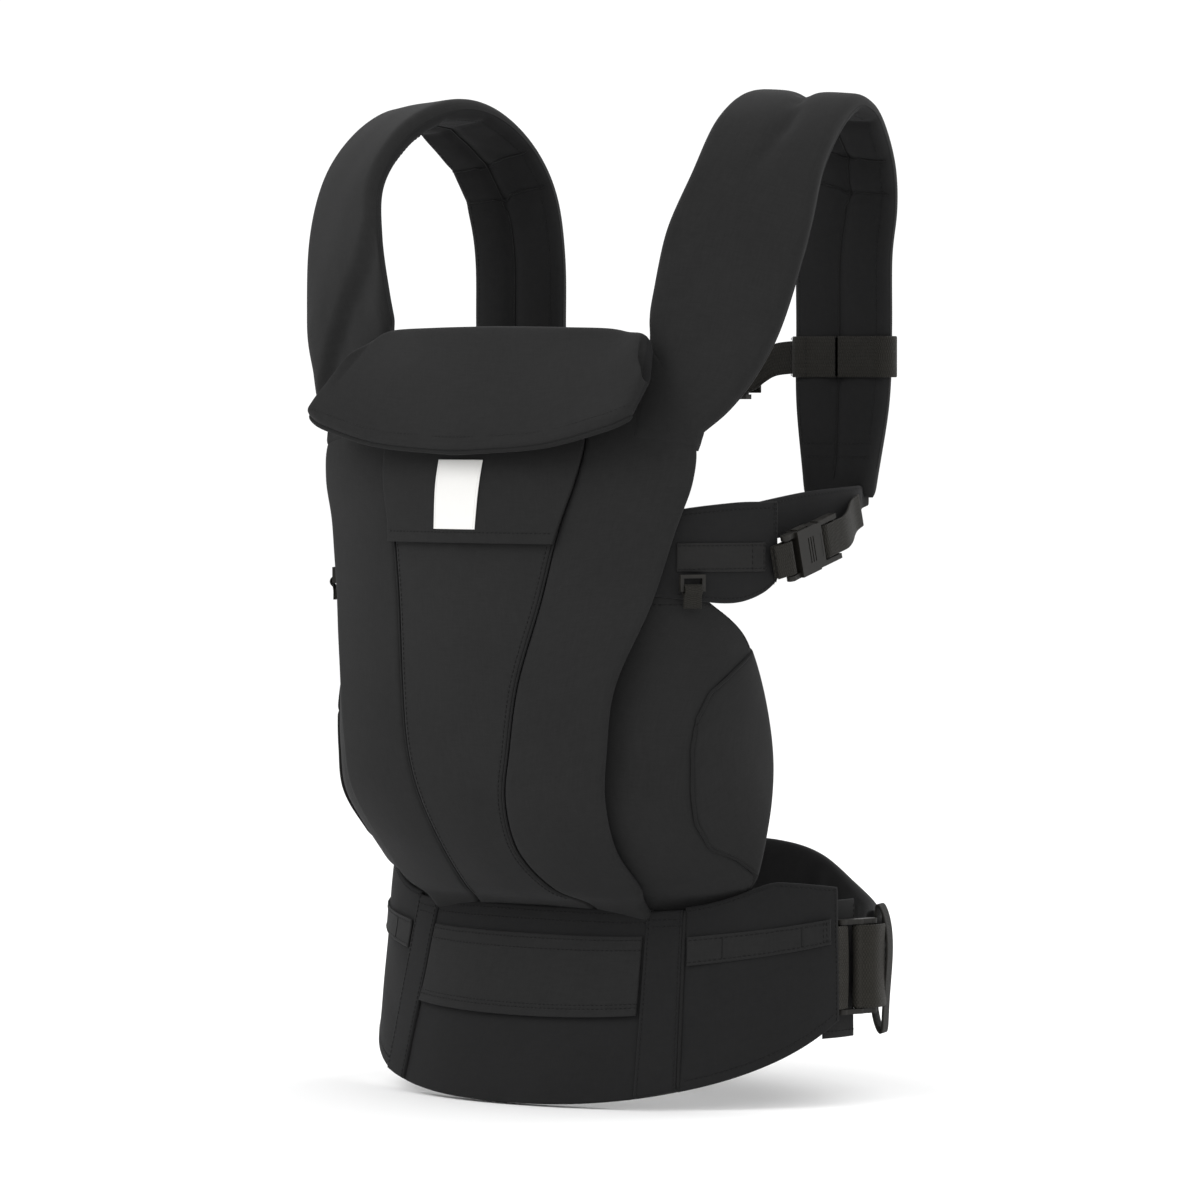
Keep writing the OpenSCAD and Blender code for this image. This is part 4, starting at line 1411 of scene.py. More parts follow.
@dataclass
class LegWing(Assembly):
    """The padded wing beside the panel, with a fuller rim round the child's leg.

    Attributes:
        side: which side it is on.
        seam: radius of the piping between the wing and its rim.
    """

    side: Side
    seam: float = 1.15

    def build(self, parts: dict[str, tuple[Shell, Form]]) -> None:
        """Place this side's pieces from the forms made for the left side.

        Args:
            parts: the shells and forms from shapes().
        """
        word = self.side.word
        wing_shell, wing = parts["wing"]
        rim = parts["rim"][1]
        self.pad(wing.mirrored(self.side), f"leg_wing_pad_{word}", 0.55, [f"leg_wing_{word}"])
        self.pad(rim.mirrored(self.side), f"leg_rim_pad_{word}", 0.75, [f"leg_rim_{word}"])
        t = np.linspace(0.12, 5.45, 90)
        seam = LEG.lift(t, leg_seam(t), -4.9 + 0 * t)
        self.place(tube(resampled(seam, 2.5), self.seam).mirrored(self.side), f"leg_seam_{word}", (PIPING,),
                   "cloth")
        stitches = Stitches()
        for row in ([(float(a), 0.93) for a in np.arange(0.3, 5.3, 0.25)],
                    [(6.86, float(v)) for v in np.linspace(-0.9, 0.85, 10)],
                    [(float(a), 0.9) for a in np.arange(5.6, 6.9, 0.2)]):
            sewn(stitches, wing, wing_shell, row, -4.5)
        self.sewing(stitches, f"leg_wing_stitches_{word}", side=self.side)

    @staticmethod
    def shapes() -> dict[str, tuple[Shell, Form]]:
        """Return the left wing's shells and their swollen forms."""
        wing = Shell(LEG, -1.2, 7.3, constant(-1.32), lambda u: np.where(u > 5.25, 1.0, leg_seam(u) + 0.03),
                     -4.2, 4.0, edge=3.2, step=5.5, crown=0.8, waves=0.5, wavelength=60, puff=Puff(cap=3.0),
                     seed=31, creases=[Crease([(1.2, -1.0), (2.6, -0.55), (4.2, -0.75)], 1.4, 9.0, fade=0.4,
                                              sewn=False)])
        rim = Shell(LEG, -1.2, 5.6, lambda u: leg_seam(np.maximum(u, 0.1)) - 0.05, constant(1.02), -4.8, 4.2,
                    edge=3.4, step=5, crown=1.0, waves=0.4, wavelength=60, puff=Puff(cap=3.2), seed=32)
        return {"wing": (wing, wing.form()), "rim": (rim, rim.form())}


@dataclass
class SideWing(Assembly):
    """The flat wing under the arm: a hemmed flap with a sewn band and the buckle's webbing loop.

    Attributes:
        side: which side it is on.
        half: half its thickness.
        band: heights of the sewn band's edges.
        ring: middle of the seat ring.
        ring_turn: angle of the seat ring, in degrees.
    """

    side: Side
    half: float = 2.4
    band: tuple[float, float] = (321.0, 338.0)
    ring: tuple[float, float, float] = (137.0, -122.0, 314.5)
    ring_turn: float = 60.0

    def build(self) -> None:
        """Build the wing, its band, the loop of webbing and the seat tab."""
        word = self.side.word
        wing = Shell(WING, -0.8, 5, constant(-1), constant(1), -self.half, self.half, edge=1.8, step=5,
                     waves=0.45, wavelength=50, seed=41, puff=Puff(cap=1.4, pressure=2))
        form = wing.form()
        self.pad(form.mirrored(self.side), f"side_wing_pad_{word}", 0.3, [f"side_wing_{word}"])
        stitches = Stitches(pitch=2.8)

        def z_row(z: float, a: float, b: float) -> list[tuple[float, float]]:
            """Return (u, v) points of a level row between two rows of the wing."""
            out = []
            for u in np.linspace(a, b, 12):
                r = WING.rows(u)
                out.append((float(u), float(2 * (z - r[2]) / (r[3] - r[2]) - 1)))
            return out

        for u in (4.62, 4.8):
            sewn(stitches, form, wing, [(u, -0.94), (u, 0.0), (u, 0.94)], 2.5)
        sewn(stitches, form, wing, [(u, 0.86) for u in np.linspace(0.2, 4.6, 10)], 2.5)
        sewn(stitches, form, wing, [(u, -0.9) for u in np.linspace(0.6, 4.7, 10)], 2.5)
        band_shell = Shell(WING, 0.5, 3.9, WING.level(self.band[0]), WING.level(self.band[1]), 2.9, 4.6,
                           edge=0.9, step=5, waves=0.1, seed=42)
        band_form = band_shell.form()
        self.cloth(band_shell, band_form.mirrored(self.side), f"wing_band_{word}", [f"side_wing_pad_{word}"],
                   [f"wing_webbing_{word}"], (CANVAS_PALE, CANVAS_PALE), "webbing")
        for z, a, b in ((322.6, 0.6, 3.85), (336.4, 0.6, 3.85)):
            points, _ = band_shell.line(z_row(z, a, b), 4.7)
            stitches.row(*on_form(band_form, resampled(points, 3)))
        for u in (3.25, 3.8):
            points, _ = band_shell.line([z_row(322.6, u, u)[0], z_row(336.4, u, u)[0]], 4.7)
            stitches.row(*on_form(band_form, resampled(points, 2)))
        self.sewing(stitches, f"side_wing_stitches_{word}", side=self.side)
        loop = AT_SIDE.ribbon(Buckle(20).socket_turn(-3.4), 20)
        self.place(loop.mirrored(self.side), f"wing_loop_{word}", (FINE_TAPE,), "webbing",
                   replaces=[f"wing_webbing_{word}"], smooth=0)
        ring = [(0.5, -15.0), (0.5, -9.5), (1.0, -7.0)]
        for a in np.linspace(-35, 215, 15):
            ring.append((2.8 * math.cos(math.radians(a)), -3.9 + 2.8 * math.sin(math.radians(a))))
        ring += [(-1.0, -7.0), (-0.6, -9.5), (-0.6, -15.0)]
        c, s = math.cos(math.radians(self.ring_turn)), math.sin(math.radians(self.ring_turn))
        path = np.array(self.ring) + [[-s * y, c * y, z] for y, z in ring]
        self.place(band(path, (c, s, 0), 11.2, 1.0).mirrored(self.side), f"seat_tab_loop_{word}",
                   (FINE_TAPE,), "webbing", replaces=[f"seat_tab_{word}"], smooth=0)


@dataclass
class ShoulderStrap(Assembly):
    """A padded strap over the shoulder, quilted underneath, with the flap that holds the side webbing.

    Attributes:
        side: which side it is on.
        half: half its thickness.
        flap_half: half the thickness of its end flap.
    """

    side: Side
    half: float = 6.4
    flap_half: float = 1.9

    def folds(self) -> list[Crease]:
        """Return the folds of this side's strap, which hang differently."""
        if self.side is Side.LEFT:
            return [Crease([(9.2, -0.35), (8.22, -0.22), (7.2, 0.0), (6.08, 0.18), (5.47, 0.1), (4.8, -0.05)],
                           7.5, 4.0, fade=0.3, sewn=False),
                    Crease([(3.4, -1.0), (3.7, -0.8), (4.3, -0.72)], 2.0, 5.0, fade=0.4, sewn=False)]
        return [Crease([(4.3, -1.0), (3.62, -0.72), (3.11, -0.2), (2.11, 0.38), (1.0, 0.86)], 6.5, 17.0,
                       fade=0.12, step=True, sewn=False)]

    def build(self) -> None:
        """Build the strap, its edge seams and its end flap."""
        word = self.side.word
        quilting = [Crease([(5.5, 0.2), (8, 0.12), (10, 0.1), (12, 0.02), (15, 0.0)], 3.4, 3.6, Face.SECOND,
                           fade=0.04)]
        quilting += [Crease([(u, -1), (u - 0.06, -0.4), (u + 0.04, 0.1), (u - 0.1, 1)], 2.8, 3.2, Face.SECOND)
                     for u in (9.72, 10.66, 8.3, 7.1)]
        strap = Shell(STRAP, -1.7, 15.25, constant(-1.02), constant(1.02), -self.half, self.half, edge=5.0,
                      step=4.2, crown=1.0, waves=0.5, wavelength=80, creases=[*quilting, *self.folds()],
                      puff=Puff(cap=3.0), seed=51 + self.side.value)
        form = strap.form()
        self.pad(form.mirrored(self.side), f"shoulder_pad_{word}", 0.65,
                 [f"strap_cover_{word}", f"strap_foam_{word}", f"strap_lining_{word}"], (CANVAS, LINING))
        t = np.linspace(1.2, 14.9, 150)
        for v, end in ((-1.0, "inner"), (1.0, "outer")):
            points = STRAP.lift(t, v + 0 * t, 0.4 + 0 * t)
            self.place(tube(resampled(points, 3), 0.8, 6).mirrored(self.side), f"strap_seam_{end}_{word}",
                       (PIPING,), "cloth", smooth=0)
        grooves = []
        for groove in quilting[:3]:
            points, _ = strap.line(groove.path, self.half)
            grooves.append(tube(on_form(form, resampled(points, 3.0), 0.0)[0], 0.75, 6))
        self.place(joined(grooves).mirrored(self.side), f"strap_quilting_{word}", (THREAD,), "cloth",
                   smooth=0)
        stitches = Stitches(thick=0.36)
        for v in (-0.84, 0.84):
            sewn(stitches, form, strap, [(u, v) for u in np.arange(5.5, 14.8, 0.5)], self.half)
        for u in (14.55, 14.72):
            sewn(stitches, form, strap, [(u, -0.9), (u, 0), (u, 0.9)], self.half)
        flap = Shell(END_FLAP, 0, 5.7, constant(-1), constant(1), -self.flap_half, self.flap_half, edge=1.6,
                     step=5, waves=0.5, wavelength=45, seed=61, puff=Puff(cap=1.2, pressure=2))
        flap_form = flap.form()
        self.pad(flap_form.mirrored(self.side), f"end_flap_pad_{word}", 0.25, [f"strap_end_flap_{word}"])
        for v in (-0.8, 0.8):
            sewn(stitches, flap_form, flap, [(u, v) for u in np.linspace(0.3, 4.8, 10)], 2.0)
        for u in (0.25, 0.55, 0.85):
            sewn(stitches, flap_form, flap, [(u, -0.85), (u, 0), (u, 0.85)], 2.0)
        self.sewing(stitches, f"shoulder_stitches_{word}", side=self.side)
        webbing = AT_SIDE.ribbon(Buckle(20).ladder_turn() + [(31, 2.4, 0), (40, -0.5, 1), (50, -5.5, 2.5),
                                                             (58, -9, 3), (66, -10.4, 3.5)], 20)
        piece = self.place(webbing.mirrored(self.side), f"side_tape_{word}", (FINE_TAPE,), "webbing",
                           body="carrier", replaces=[f"side_webbing_{word}"], smooth=0)
        start, end = AT_SIDE.at(64, 0, -10), AT_SIDE.at(31, 0, 0)
        blended(piece)


def blended(piece: bpy.types.Object) -> None:
    """Free a piece from its body and bake its placement into its mesh."""
    world = piece.matrix_world.copy()
    piece.parent = None
    piece.matrix_world = world
    if "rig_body" in piece:
        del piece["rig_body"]
    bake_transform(piece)


@dataclass
class WaistBelt(Assembly):
    """The padded waist belt with its covers, strips, flap and pocket bands.

    Attributes:
        thickness: how thick the padding is.
        end: angle of its ends from the front, in degrees.
        pocket: first and last angle of the pocket bands.
        tongue: last angle of the cloth behind the adjusters.
    """

    thickness: float = 13.0
    end: float = 80.0
    pocket: tuple[float, float] = (39.2, 77.2)
    tongue: float = 95.0

    def straight(self, start: float, stop: float) -> Edge:
        """Return an edge that runs straight from one height at 39 degrees to another at 77."""
        return lambda a: BELT.v_at(a, np.interp(np.asarray(a, float), (39, 77), (start, stop)))

    def level(self, below_top: float, angles: Sequence[float]) -> list[tuple[float, float]]:
        """Return (u, v) points that far under the belt's upper edge."""
        return [(float(a), float(BELT.v_at(a, BELT.upper(a) - below_top))) for a in angles]

    def build(self) -> None:
        """Build every piece of the belt."""
        body = Shell(BELT, -self.end, self.end, constant(-0.985), constant(0.985), -self.thickness, -2.0,
                     edge=4.5, step=8, crown=0.5, waves=0.6, wavelength=90, seed=71)
        self.pad(body.form(), "belt_padding", 0.6, ["belt_foam", "belt_lining"], (LINING, CANVAS))
        stitches = Stitches()
        front = Shell(BELT, -30.5, 30.5, constant(-1), constant(1), -2.6, 0, edge=1.4, step=6, waves=0.5,
                      wavelength=80, seed=72)
        front_form = front.form()
        self.pad(front_form, "belt_front_pad", 0.3, ["belt_front"])
        sewn(stitches, front_form, front, self.level(8, np.linspace(-28.5, 28.5, 12)), 0)
        sewn(stitches, front_form, front, self.level(3, np.linspace(-28.5, 28.5, 12)), 0)
        flap = Shell(BELT, -28.6, 28.6, constant(-0.13), constant(0.71), 0.6, 2.2, edge=0.9, step=6,
                     waves=0.25, wavelength=60, lips=(0, 0, 1.3, 0.1), seed=73)
        flap_form = flap.form()
        self.cloth(flap, flap_form, "belt_flap_sheet", ["belt_front_pad"], ["belt_flap"])
        angles = np.linspace(-28.2, 28.2, 12)
        for v in (0.665, 0.56, -0.045, -0.005):
            sewn(stitches, flap_form, flap, [(float(a), v) for a in angles], 2.4)
        self.sewing(stitches, "belt_front_stitches")
        for side in Side:
            self._side(side)

    def _side(self, side: Side) -> None:
        """Build the strip, the side cover, the pocket band and the tongue of one side."""
        word, stitches = side.word, Stitches()
        strip = Shell(BELT, 29.2, 37.9, constant(-0.99), constant(0.97), -0.4, 1.9, edge=1.2, step=5,
                      waves=0.3, wavelength=60, seed=74)
        strip_form = strip.form()
        self.pad(strip_form.mirrored(side), f"belt_strip_{word}", 0.25, ["belt_front"])
        for u in (29.9, 37.3):
            sewn(stitches, strip_form, strip, [(u, v) for v in np.linspace(-0.96, 0.94, 10)], 2.0)
        sewn(stitches, strip_form, strip, self.level(11, (29.8, 33.0, 37.4)), 2.0)
        sewn(stitches, strip_form, strip, self.level(7, (29.8, 33.0, 37.4)), 2.0)
        edge = BELT.lift(np.full(30, 38.25), np.linspace(-0.985, 0.96, 30), np.full(30, 0.3))
        self.place(tube(resampled(edge, 3), 1.1).mirrored(side), f"belt_strip_piping_{word}", (PIPING,),
                   "cloth", smooth=0)
        cover = Shell(BELT, 38.3, 80.4, constant(-1), constant(1), -2.2, 0.3, edge=1.6, step=6, waves=0.7,
                      wavelength=70, seed=75, creases=[Crease([(70, 1.0), (71, 0.7), (71.5, 0.3)], 1.5, 3.5,
                                                              Face.SECOND, fade=0.3)])
        cover_form = cover.form()
        self.pad(cover_form.mirrored(side), f"belt_side_pad_{word}", 0.3, [f"belt_side_{word}"])
        sewn(stitches, cover_form, cover, [(79.2, v) for v in np.linspace(-0.95, 0.95, 12)], 0.4)
        sewn(stitches, cover_form, cover, self.level(2.5, np.linspace(39.5, 79, 12)), 0.4)
        pocket = Shell(BELT, *self.pocket, self.straight(84.5, 96.8), self.straight(101.6, 112.0), 0.2, 1.9,
                       edge=0.9, step=5, waves=0.2, wavelength=50, seed=76, lips=(0, 0, 0.0, 1.1))
        pocket_form = pocket.form()
        self.cloth(pocket, pocket_form.mirrored(side), f"pocket_band_{word}", [f"belt_side_pad_{word}"],
                   [f"belt_side_{word}"])
        for row in (self.straight(86.5, 98.8), self.straight(99.4, 109.8)):
            sewn(stitches, pocket_form, pocket, [(float(a), float(row(a)))
                                                 for a in np.linspace(40, 76.5, 10)], 2.0)
        for a in (47.5, 68.0):
            low, high = float(self.straight(87.5, 99.5)(a)), float(self.straight(98.6, 109)(a))
            points, _ = pocket.line([(a, low), (a + 0.1, high)], 2.0)
            stitches.tack(*on_form(pocket_form, resampled(points, 1.2)))
        for a in (74.6, 75.7):
            low, high = float(self.straight(87.5, 99.5)(a)), float(self.straight(99, 109.5)(a))
            sewn(stitches, pocket_form, pocket, [(a, low), (a, high)], 2.0)
        sewn(stitches, cover_form, cover, [(float(a), float(BELT.v_at(a, 6 + BELT.lower(a))))
                                           for a in np.linspace(40, 78, 12)], 0.4)
        self.sewing(stitches, f"belt_side_stitches_{word}", side=side)
        tongue = Shell(BeltFace(12.3, 39, 122), self.end - 0.6, self.tongue, constant(-1), constant(1), -0.8,
                       0.8, edge=0.8, step=5, waves=0.3, wavelength=50, seed=77)
        tongue_form = tongue.form()
        self.cloth(tongue, tongue_form.mirrored(side), f"belt_tongue_{word}", ["belt_padding"],
                   [f"belt_side_{word}"], (LINING, CANVAS))
        hem = Stitches()
        sewn(hem, tongue_form, tongue, [(u, -0.9) for u in np.linspace(self.end, self.tongue - 0.6, 6)], 0.9)
        sewn(hem, tongue_form, tongue, [(self.tongue - 0.8, v) for v in np.linspace(-0.9, 0.9, 8)], 0.9)
        self.sewing(hem, f"belt_tongue_stitches_{word}", side=side)


@dataclass
class LumbarPad(Assembly):
    """The pad at the small of the wearer's back.

    Attributes:
        half: half its thickness.
    """

    half: float = 4.4

    def build(self) -> None:
        """Build the pad with its middle seams."""
        pad = Shell(LumbarFace(), 22.5, 157.5, constant(-1), constant(1), -self.half, self.half, edge=4.2,
                    step=6.5, crown=0.8, waves=0.5, wavelength=80, puff=Puff(cap=3.0), seed=81,
                    creases=[Crease([(a, -0.97), (a + 1, 0), (a, 0.97)], 2.2, 3.2, face, fade=0.06)
                             for a in (62, 118) for face in Face])
        form = pad.form()
        self.pad(form, "lumbar_cushion", 0.6, ["lumbar_pad"], (LINING, CANVAS), "lining")
        stitches = Stitches()
        for v in (-0.84, 0.84):
            sewn(stitches, form, pad, [(float(a), v) for a in np.linspace(27, 153, 30)], 4.5)
        self.sewing(stitches, "lumbar_stitches")


# ---------------------------------------------------------------- webbing and buckles


def turn(centre: Sequence[float], radius: float, start: float, stop: float,
         n: int = 12) -> list[tuple[float, float]]:
    """Return points of an arc in degrees round a centre."""
    return [(centre[0] + radius * math.cos(math.radians(a)), centre[1] + radius * math.sin(math.radians(a)))
            for a in np.linspace(start, stop, n + 1)]


@dataclass(frozen=True)
class Buckle:
    """The sizes of a side-release buckle that its webbing follows.

    Attributes:
        width: width of its webbing, in millimetres.
    """

    width: float
    ladder = (12.5, 21.5)
    round_bar = 1.8 + 0.3 + 0.8

    @property
    def length(self) -> float:
        """Length of its socket."""
        return 17 + self.width * 0.5

    def socket_turn(self, side: float) -> list[tuple[float, float, float]]:
        """Return the webbing's way round the socket's bar, as x, z and shift across."""
        x = 2 - self.length
        return [(x - 11, side, 0), (x - 5, side * 0.9, 0),
                *((a, b, 0) for a, b in turn((x, 0), self.round_bar, -90, 90)), (x - 5, 1.1, 0),
                (x - 11, side + 2.2, 0)]

    def ladder_turn(self) -> list[tuple[float, float, float]]:
        """Return the webbing's way through the plug's ladder lock."""
        return [(30, -3.6, 0), (self.ladder[1], -self.round_bar, 0),
                *((a, b, 0) for a, b in turn((self.ladder[0], 0), self.round_bar, 270, 90)),
                (self.ladder[1], self.round_bar, 0)]


class Seat:
    """Where a buckle sits: +X is the way its plug leaves, Y its width and Z its thickness."""

    def __init__(self, at: Sequence[float], *turns: tuple[str, float]) -> None:
        """Keep the place and the turns, the last one done first."""
        self.origin = np.array(at, float)
        m = Matrix.Identity(3)
        for axis, angle in turns:
            m = m @ Matrix.Rotation(math.radians(angle), 3, axis)
        self.turned = np.array(m)

    def at(self, x: float, y: float, z: float) -> Array:
        """Return a point of the seat in the shared frame, in millimetres."""
        return self.origin + self.turned @ np.array([x, y, z], float)

    def ribbon(self, path: Sequence[tuple[float, float, float]], width: float, thick: float = 1.6) -> Form:
        """Return webbing along points of x, z and shift across."""
        points = np.array([self.at(x, shift, z) for x, z, shift in path])
        return band(smoothed(points, 1.5), self.turned @ np.array([0, 1, 0]), width, thick)


AT_SIDE = Seat((164.5, -40, 335), ("X", 15), ("Z", 90), ("X", 90))
AT_CHEST = Seat((30, 45, 436), ("X", 90))


@dataclass
class WaistWebbing(Assembly):
    """The waist webbing from the buckle to the adjusters, the belt's tabs and the safety loop.

    Attributes:
        height: height of its middle line.
        width: width of the webbing; not used.
        thick: thickness of the webbing.
        plug: plan place of the waist buckle's plug.
        bars: plan places of the adjuster's two bars.
        loop: middle of the safety loop.
        loop_turn: angle of the safety loop, in degrees.
        loop_size: its half depth and half height.
    """

    height: float = 82.0
    width: float = 50.0
    thick: float = 1.6
    plug: tuple[float, float] = (9.0, 122.0)
    bars: tuple[tuple[float, float], ...] = ((164.5, -10.0), (168.0, 1.5))
    loop: tuple[float, float, float] = (168.2, 25.8, 79.0)
    loop_turn: float = 20.0
    loop_size: tuple[float, float] = (4.4, 38.6)

    def hoop(self, start: float, stop: float) -> list[tuple[float, float]]:
        """Return plan points of the belt's ellipse between two angles."""
        n = max(2, int(abs(stop - start) / 4))
        return [(172 * math.cos(math.radians(a)), 118 * math.sin(math.radians(a)))
                for a in np.linspace(start, stop, n + 1)]

    def upright(self, plan: Sequence[tuple[float, float]], sag: float = 0.0, width: float = 50.0) -> Form:
        """Return webbing standing on edge along a plan path."""
        points = np.array([(x, y, self.height) for x, y in plan])
        return band(smoothed(points, 2.0), (0, 0, 1), width, self.thick, sag)

    def build(self) -> None:
        """Build both sides, then the loop."""
        x, y = self.plug
        r = Buckle(50).round_bar
        socket_x = Buckle(50).length - 2 - x
        backs = {Side.LEFT: [(x + 34, y + 3.4), *turn((x + 12.5, y), r, 90, 270), (x + 21.5, y - r),
                             (x + 34, y - 3.6), (56, 115)],
                 Side.RIGHT: [(socket_x + 16, y + 0.4), (socket_x + 8, y + 1.3),
                              *turn((socket_x, y), r, 90, 270), (socket_x + 8, y - 1.6),
                              (socket_x + 16, y - 2.8), (58, 114.2)]}
        for side in Side:
            word = side.word
            back = self.upright(backs[side] + self.hoop(66, 40)).mirrored(side)
            piece = self.place(back, f"waist_tape_back_{word}", (TAPE,), "webbing",
                               replaces=[f"waist_webbing_{word}"], smooth=0)
            if side is Side.LEFT:
                blended(piece)
            front = self.upright(self.hoop(41, 18) + [(171, 26), (175.3, 17), (176, 8)]
                                 + turn(self.bars[1], r, 0, -180) + [(165.3, 9), (166, 17)], 0.8)
            piece = self.place(front.mirrored(side), f"waist_tape_side_{word}", (TAPE,), "webbing",
                               replaces=[f"waist_webbing_{word}"], smooth=0)
            blended(piece)
            tab = self.upright([(167.4, -19.5), *turn(self.bars[0], r, 0, 180), (161.8, -19.5)], 0.5)
            piece = self.place(tab.mirrored(side), f"belt_end_tab_{word}", (TAPE,), "webbing",
                               replaces=[f"waist_webbing_{word}"], smooth=0)
            blended(piece)
        c, s = math.cos(math.radians(self.loop_turn)), math.sin(math.radians(self.loop_turn))
        ring = []
        for a in np.radians(np.linspace(-92, 272, 60)):
            u, w = self.loop_size[0] * math.cos(a) + 0.9 * math.sin(3 * a), self.loop_size[1] * math.sin(a)
            ring.append((c * u, s * u, w))
        self.place(band(np.array(ring) + self.loop, (-s, c, 0), 13, 1.3), "safety_loop_band", (ELASTIC,),
                   "elastic", replaces=["safety_loop"], smooth=0)


@dataclass
class ChestStrap(Assembly):
    """The chest strap: two webbing loops round the shoulder straps, joined by a buckle.

    Attributes:
        height: height of the loops' middle line.
        ends: x of the loops' inner and outer turns.
        depth: y of the loops' middle.
        radius: radius of the turns.
        width: width of the loops' webbing.
    """

    height: float = 448.0
    ends: tuple[float, float] = (98.5, 153.8)
    depth: float = 45.0
    radius: float = 8.7
    width: float = 25.0
    body = "chest_strap"

    def build(self) -> None:
        """Build the loops, the two tapes and their stitching."""
        stitches = Stitches(pitch=2.4, length=1.7, thick=0.6)
        for side in Side:
            near, far = ((x, self.depth) for x in self.ends)
            outside = self.depth - self.radius
            plan = [(126, outside), *turn(far, self.radius, -90, 90), *turn(near, self.radius, 90, 270),
                    (128, outside)]
            path = resampled(np.array([(x, y, self.height) for x, y in plan]), 2.0)
            loop = band(path, (0, 0, 1), self.width, 1.6).mirrored(side)
            self.place(loop, f"chest_loop_tape_{side.word}", (FINE_TAPE,), "webbing",
                       replaces=[f"chest_loop_{side.word}"], smooth=0)
            for x in (104.0, 126.0, 93.0):
                heights = np.linspace(self.height - 11, self.height + 11, 12)
                line = np.array([(x * side.value, outside - 0.8, z) for z in heights])
                stitches.row(line, np.tile((0, -1, 0), (12, 1)))
        left = AT_CHEST.ribbon(Buckle(20).ladder_turn() + [(30, 2, 2), (37, 0.4, 7), (45, 0, 10.5),
                                                           (60, 0, 12)], 20)
        piece = self.place(left, "chest_tape_left", (FINE_TAPE,), "webbing", replaces=["chest_webbing_left"],
                           smooth=0)
        x = Buckle(20).length
        path = [(-117, 0, 12), (-95, 0, 9.5), (-70, 0, 4), (-50, 0, 0.5), (-x - 5, 1.4, 0)]
        path += [(a, b, 0) for a, b in turn((2 - x, 0), Buckle.round_bar, 90, -90)]
        path += [(-x - 4, -2, 0), (-x - 14, -1.9, 0.2)]
        self.place(AT_CHEST.ribbon(path, 20), "chest_tape_right", (FINE_TAPE,), "webbing",
                   replaces=["chest_webbing_right"], smooth=0)
        blended(piece)
        self.sewing(stitches, "chest_stitches")


@dataclass
class Hardware(Assembly):
    """The moulded parts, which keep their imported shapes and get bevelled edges.

    Attributes:
        stems: how the names of the moulded parts begin.
        bevel: width of their rounded edges, in metres.
    """

    stems: tuple[str, ...] = ("waist_adjuster", "waist_buckle", "side_buckle", "chest_buckle", "seat_ring")
    bevel: float = 0.0005

    def build(self) -> None:
        """Dress every moulded part."""
        for name, obj in frame["nodes"].items():
            if not name.startswith(self.stems):
                continue
            obj.data.materials.clear()
            obj.data.materials.append(PLASTIC.material())
            bevel = obj.modifiers.new("Edges", "BEVEL")
            bevel.width, bevel.segments, bevel.limit_method = self.bevel, 2, "ANGLE"
            bevel.angle_limit = math.radians(35)
            bevel.harden_normals = False
            obj.data.polygons.foreach_set("use_smooth", [True] * len(obj.data.polygons))
            corners = obj.modifiers.new("Normals", "WEIGHTED_NORMAL")
            corners.keep_sharp = True
            log.info("%s: dressed", name)


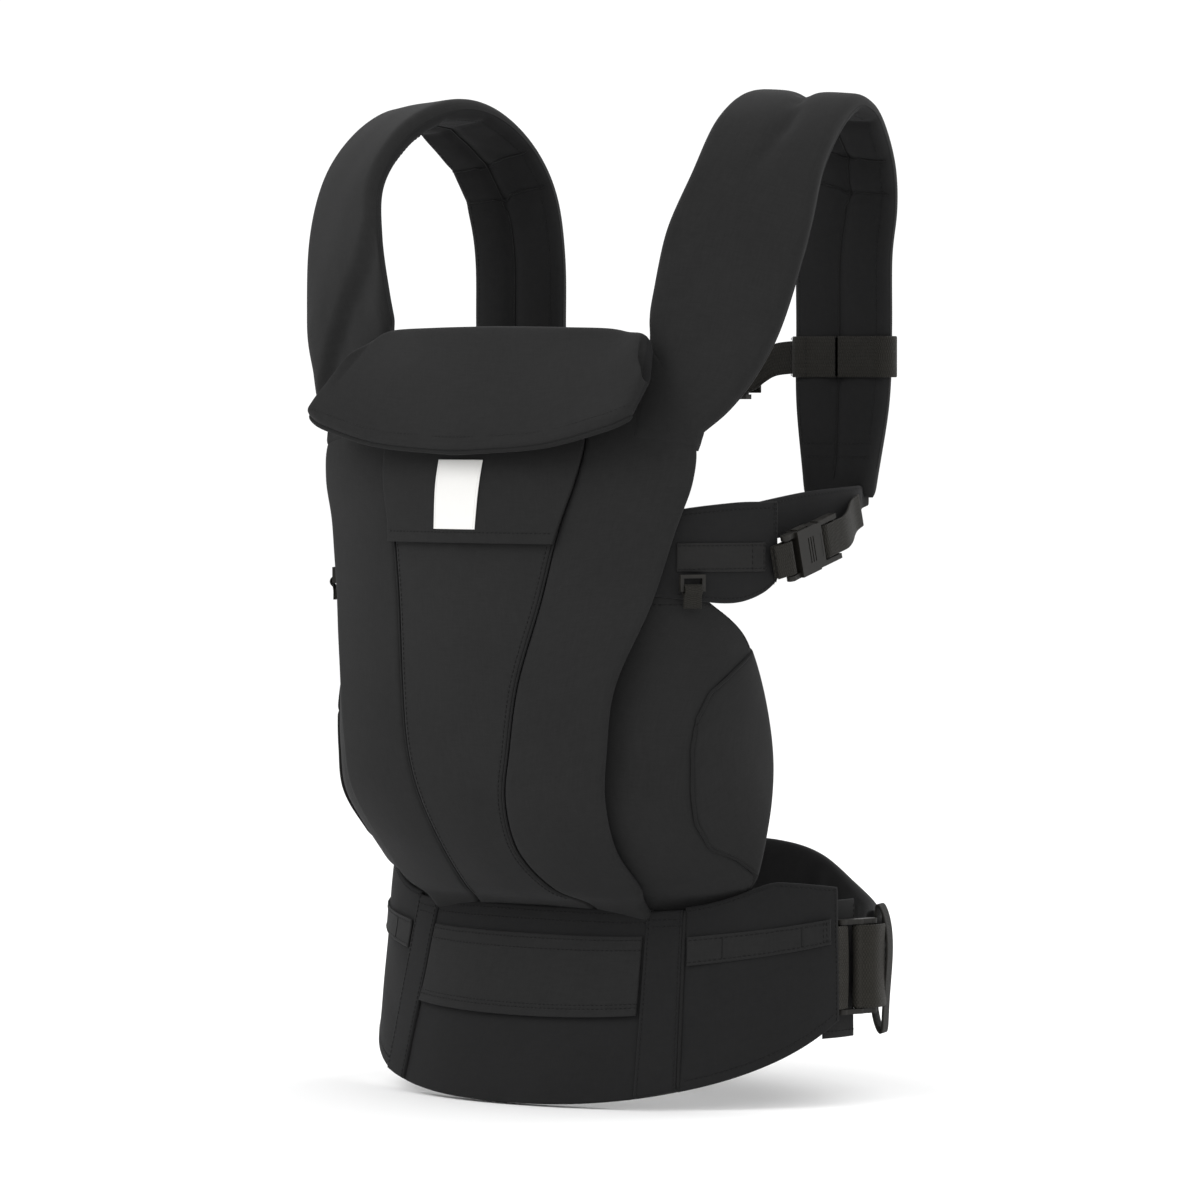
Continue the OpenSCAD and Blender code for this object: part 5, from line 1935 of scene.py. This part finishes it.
@dataclass
class Studio:
    """The pale floor, the soft lights and the camera.

    Attributes:
        target: what the camera and the lights point at, in metres.
        azimuth: the camera's angle round the object, in degrees.
        elevation: the camera's height angle, in degrees.
        distance: how far the camera is, in metres.
        lens: its focal length, in millimetres.
        sky: brightness of the sky.
        floor_size: half the floor's width, in metres.
    """

    target: tuple[float, float, float] = (-0.01694, -0.01324, 0.29869)
    azimuth: float = 38.0
    elevation: float = 1.87
    distance: float = 4.1
    lens: float = 200.0
    sky: float = 1.08
    floor_size: float = 30.0

    def build(self, floor_z: float) -> None:
        """Build the studio round the object.

        Args:
            floor_z: height of the floor, in metres.
        """
        self._floor(floor_z)
        self._lights()
        self._camera()

    def _floor(self, z: float) -> None:
        """Lay the floor."""
        data = bpy.data.meshes.new("floor")
        signs = ((-1, -1), (1, -1), (1, 1), (-1, 1))
        data.from_pydata([(x * self.floor_size, y * self.floor_size, z) for x, y in signs], [],
                         [(0, 1, 2, 3)])
        obj = bpy.data.objects.new("floor", data)
        bpy.context.scene.collection.objects.link(obj)
        made = bpy.data.materials.new("floor_paper")
        made.use_nodes = True
        net = Net(made.node_tree)
        shader = made.node_tree.nodes["Principled BSDF"]
        shader.inputs["Base Color"].default_value = (0.95, 0.95, 0.95, 1)
        shader.inputs["Roughness"].default_value = 0.9
        shader.inputs["Specular IOR Level"].default_value = 0.1
        obj.data.materials.append(made)
        obj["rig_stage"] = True

    def _lights(self) -> None:
        """Hang the sky and the soft boxes."""
        world = bpy.data.worlds.new("studio")
        world.use_nodes = True
        back = world.node_tree.nodes["Background"]
        back.inputs["Color"].default_value = (1, 1, 1, 1)
        back.inputs["Strength"].default_value = self.sky
        bpy.context.scene.world = world
        for name, at, size, power in (("key", (-1.0, -2.8, 2.6), 2.2, 48),
                                      ("fill", (2.8, -1.6, 1.4), 2.6, 20), ("rim", (0.6, 2.4, 2.2), 1.8, 30)):
            data = bpy.data.lights.new(name, "AREA")
            data.shape, data.size, data.energy = "SQUARE", size, power
            obj = bpy.data.objects.new(name, data)
            obj.location = at
            obj.rotation_euler = (Vector(self.target) - Vector(at)).to_track_quat("-Z", "Y").to_euler()
            bpy.context.scene.collection.objects.link(obj)
        bpy.context.scene.view_settings.view_transform = "Standard"

    def _camera(self) -> None:
        """Set the camera."""
        data = bpy.data.cameras.new("camera")
        data.lens, data.sensor_width = self.lens, 36.0
        data.clip_start, data.clip_end = 0.1, 100
        obj = bpy.data.objects.new("camera", data)
        a, e = math.radians(self.azimuth), math.radians(self.elevation)
        back = Vector((math.sin(a) * math.cos(e), -math.cos(a) * math.cos(e), math.sin(e)))
        obj.location = Vector(self.target) + back * self.distance
        obj.rotation_euler = (-back).to_track_quat("-Z", "Y").to_euler()
        bpy.context.scene.collection.objects.link(obj)
        bpy.context.scene.camera = obj


def main() -> None:
    """Build and dress the carrier."""
    logging.basicConfig(level=logging.INFO, format="%(message)s")
    low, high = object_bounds()
    Studio().build(low.z - 0.0005)
    BodyPanel().build()
    HeadSupport().build()
    parts = LegWing.shapes()
    for side in Side:
        LegWing(side).build(parts)
        SideWing(side).build()
        ShoulderStrap(side).build()
    WaistBelt().build()
    LumbarPad().build()
    WaistWebbing().build()
    ChestStrap().build()
    Hardware().build()
    low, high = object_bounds()


if __name__ == "__main__":
    main()
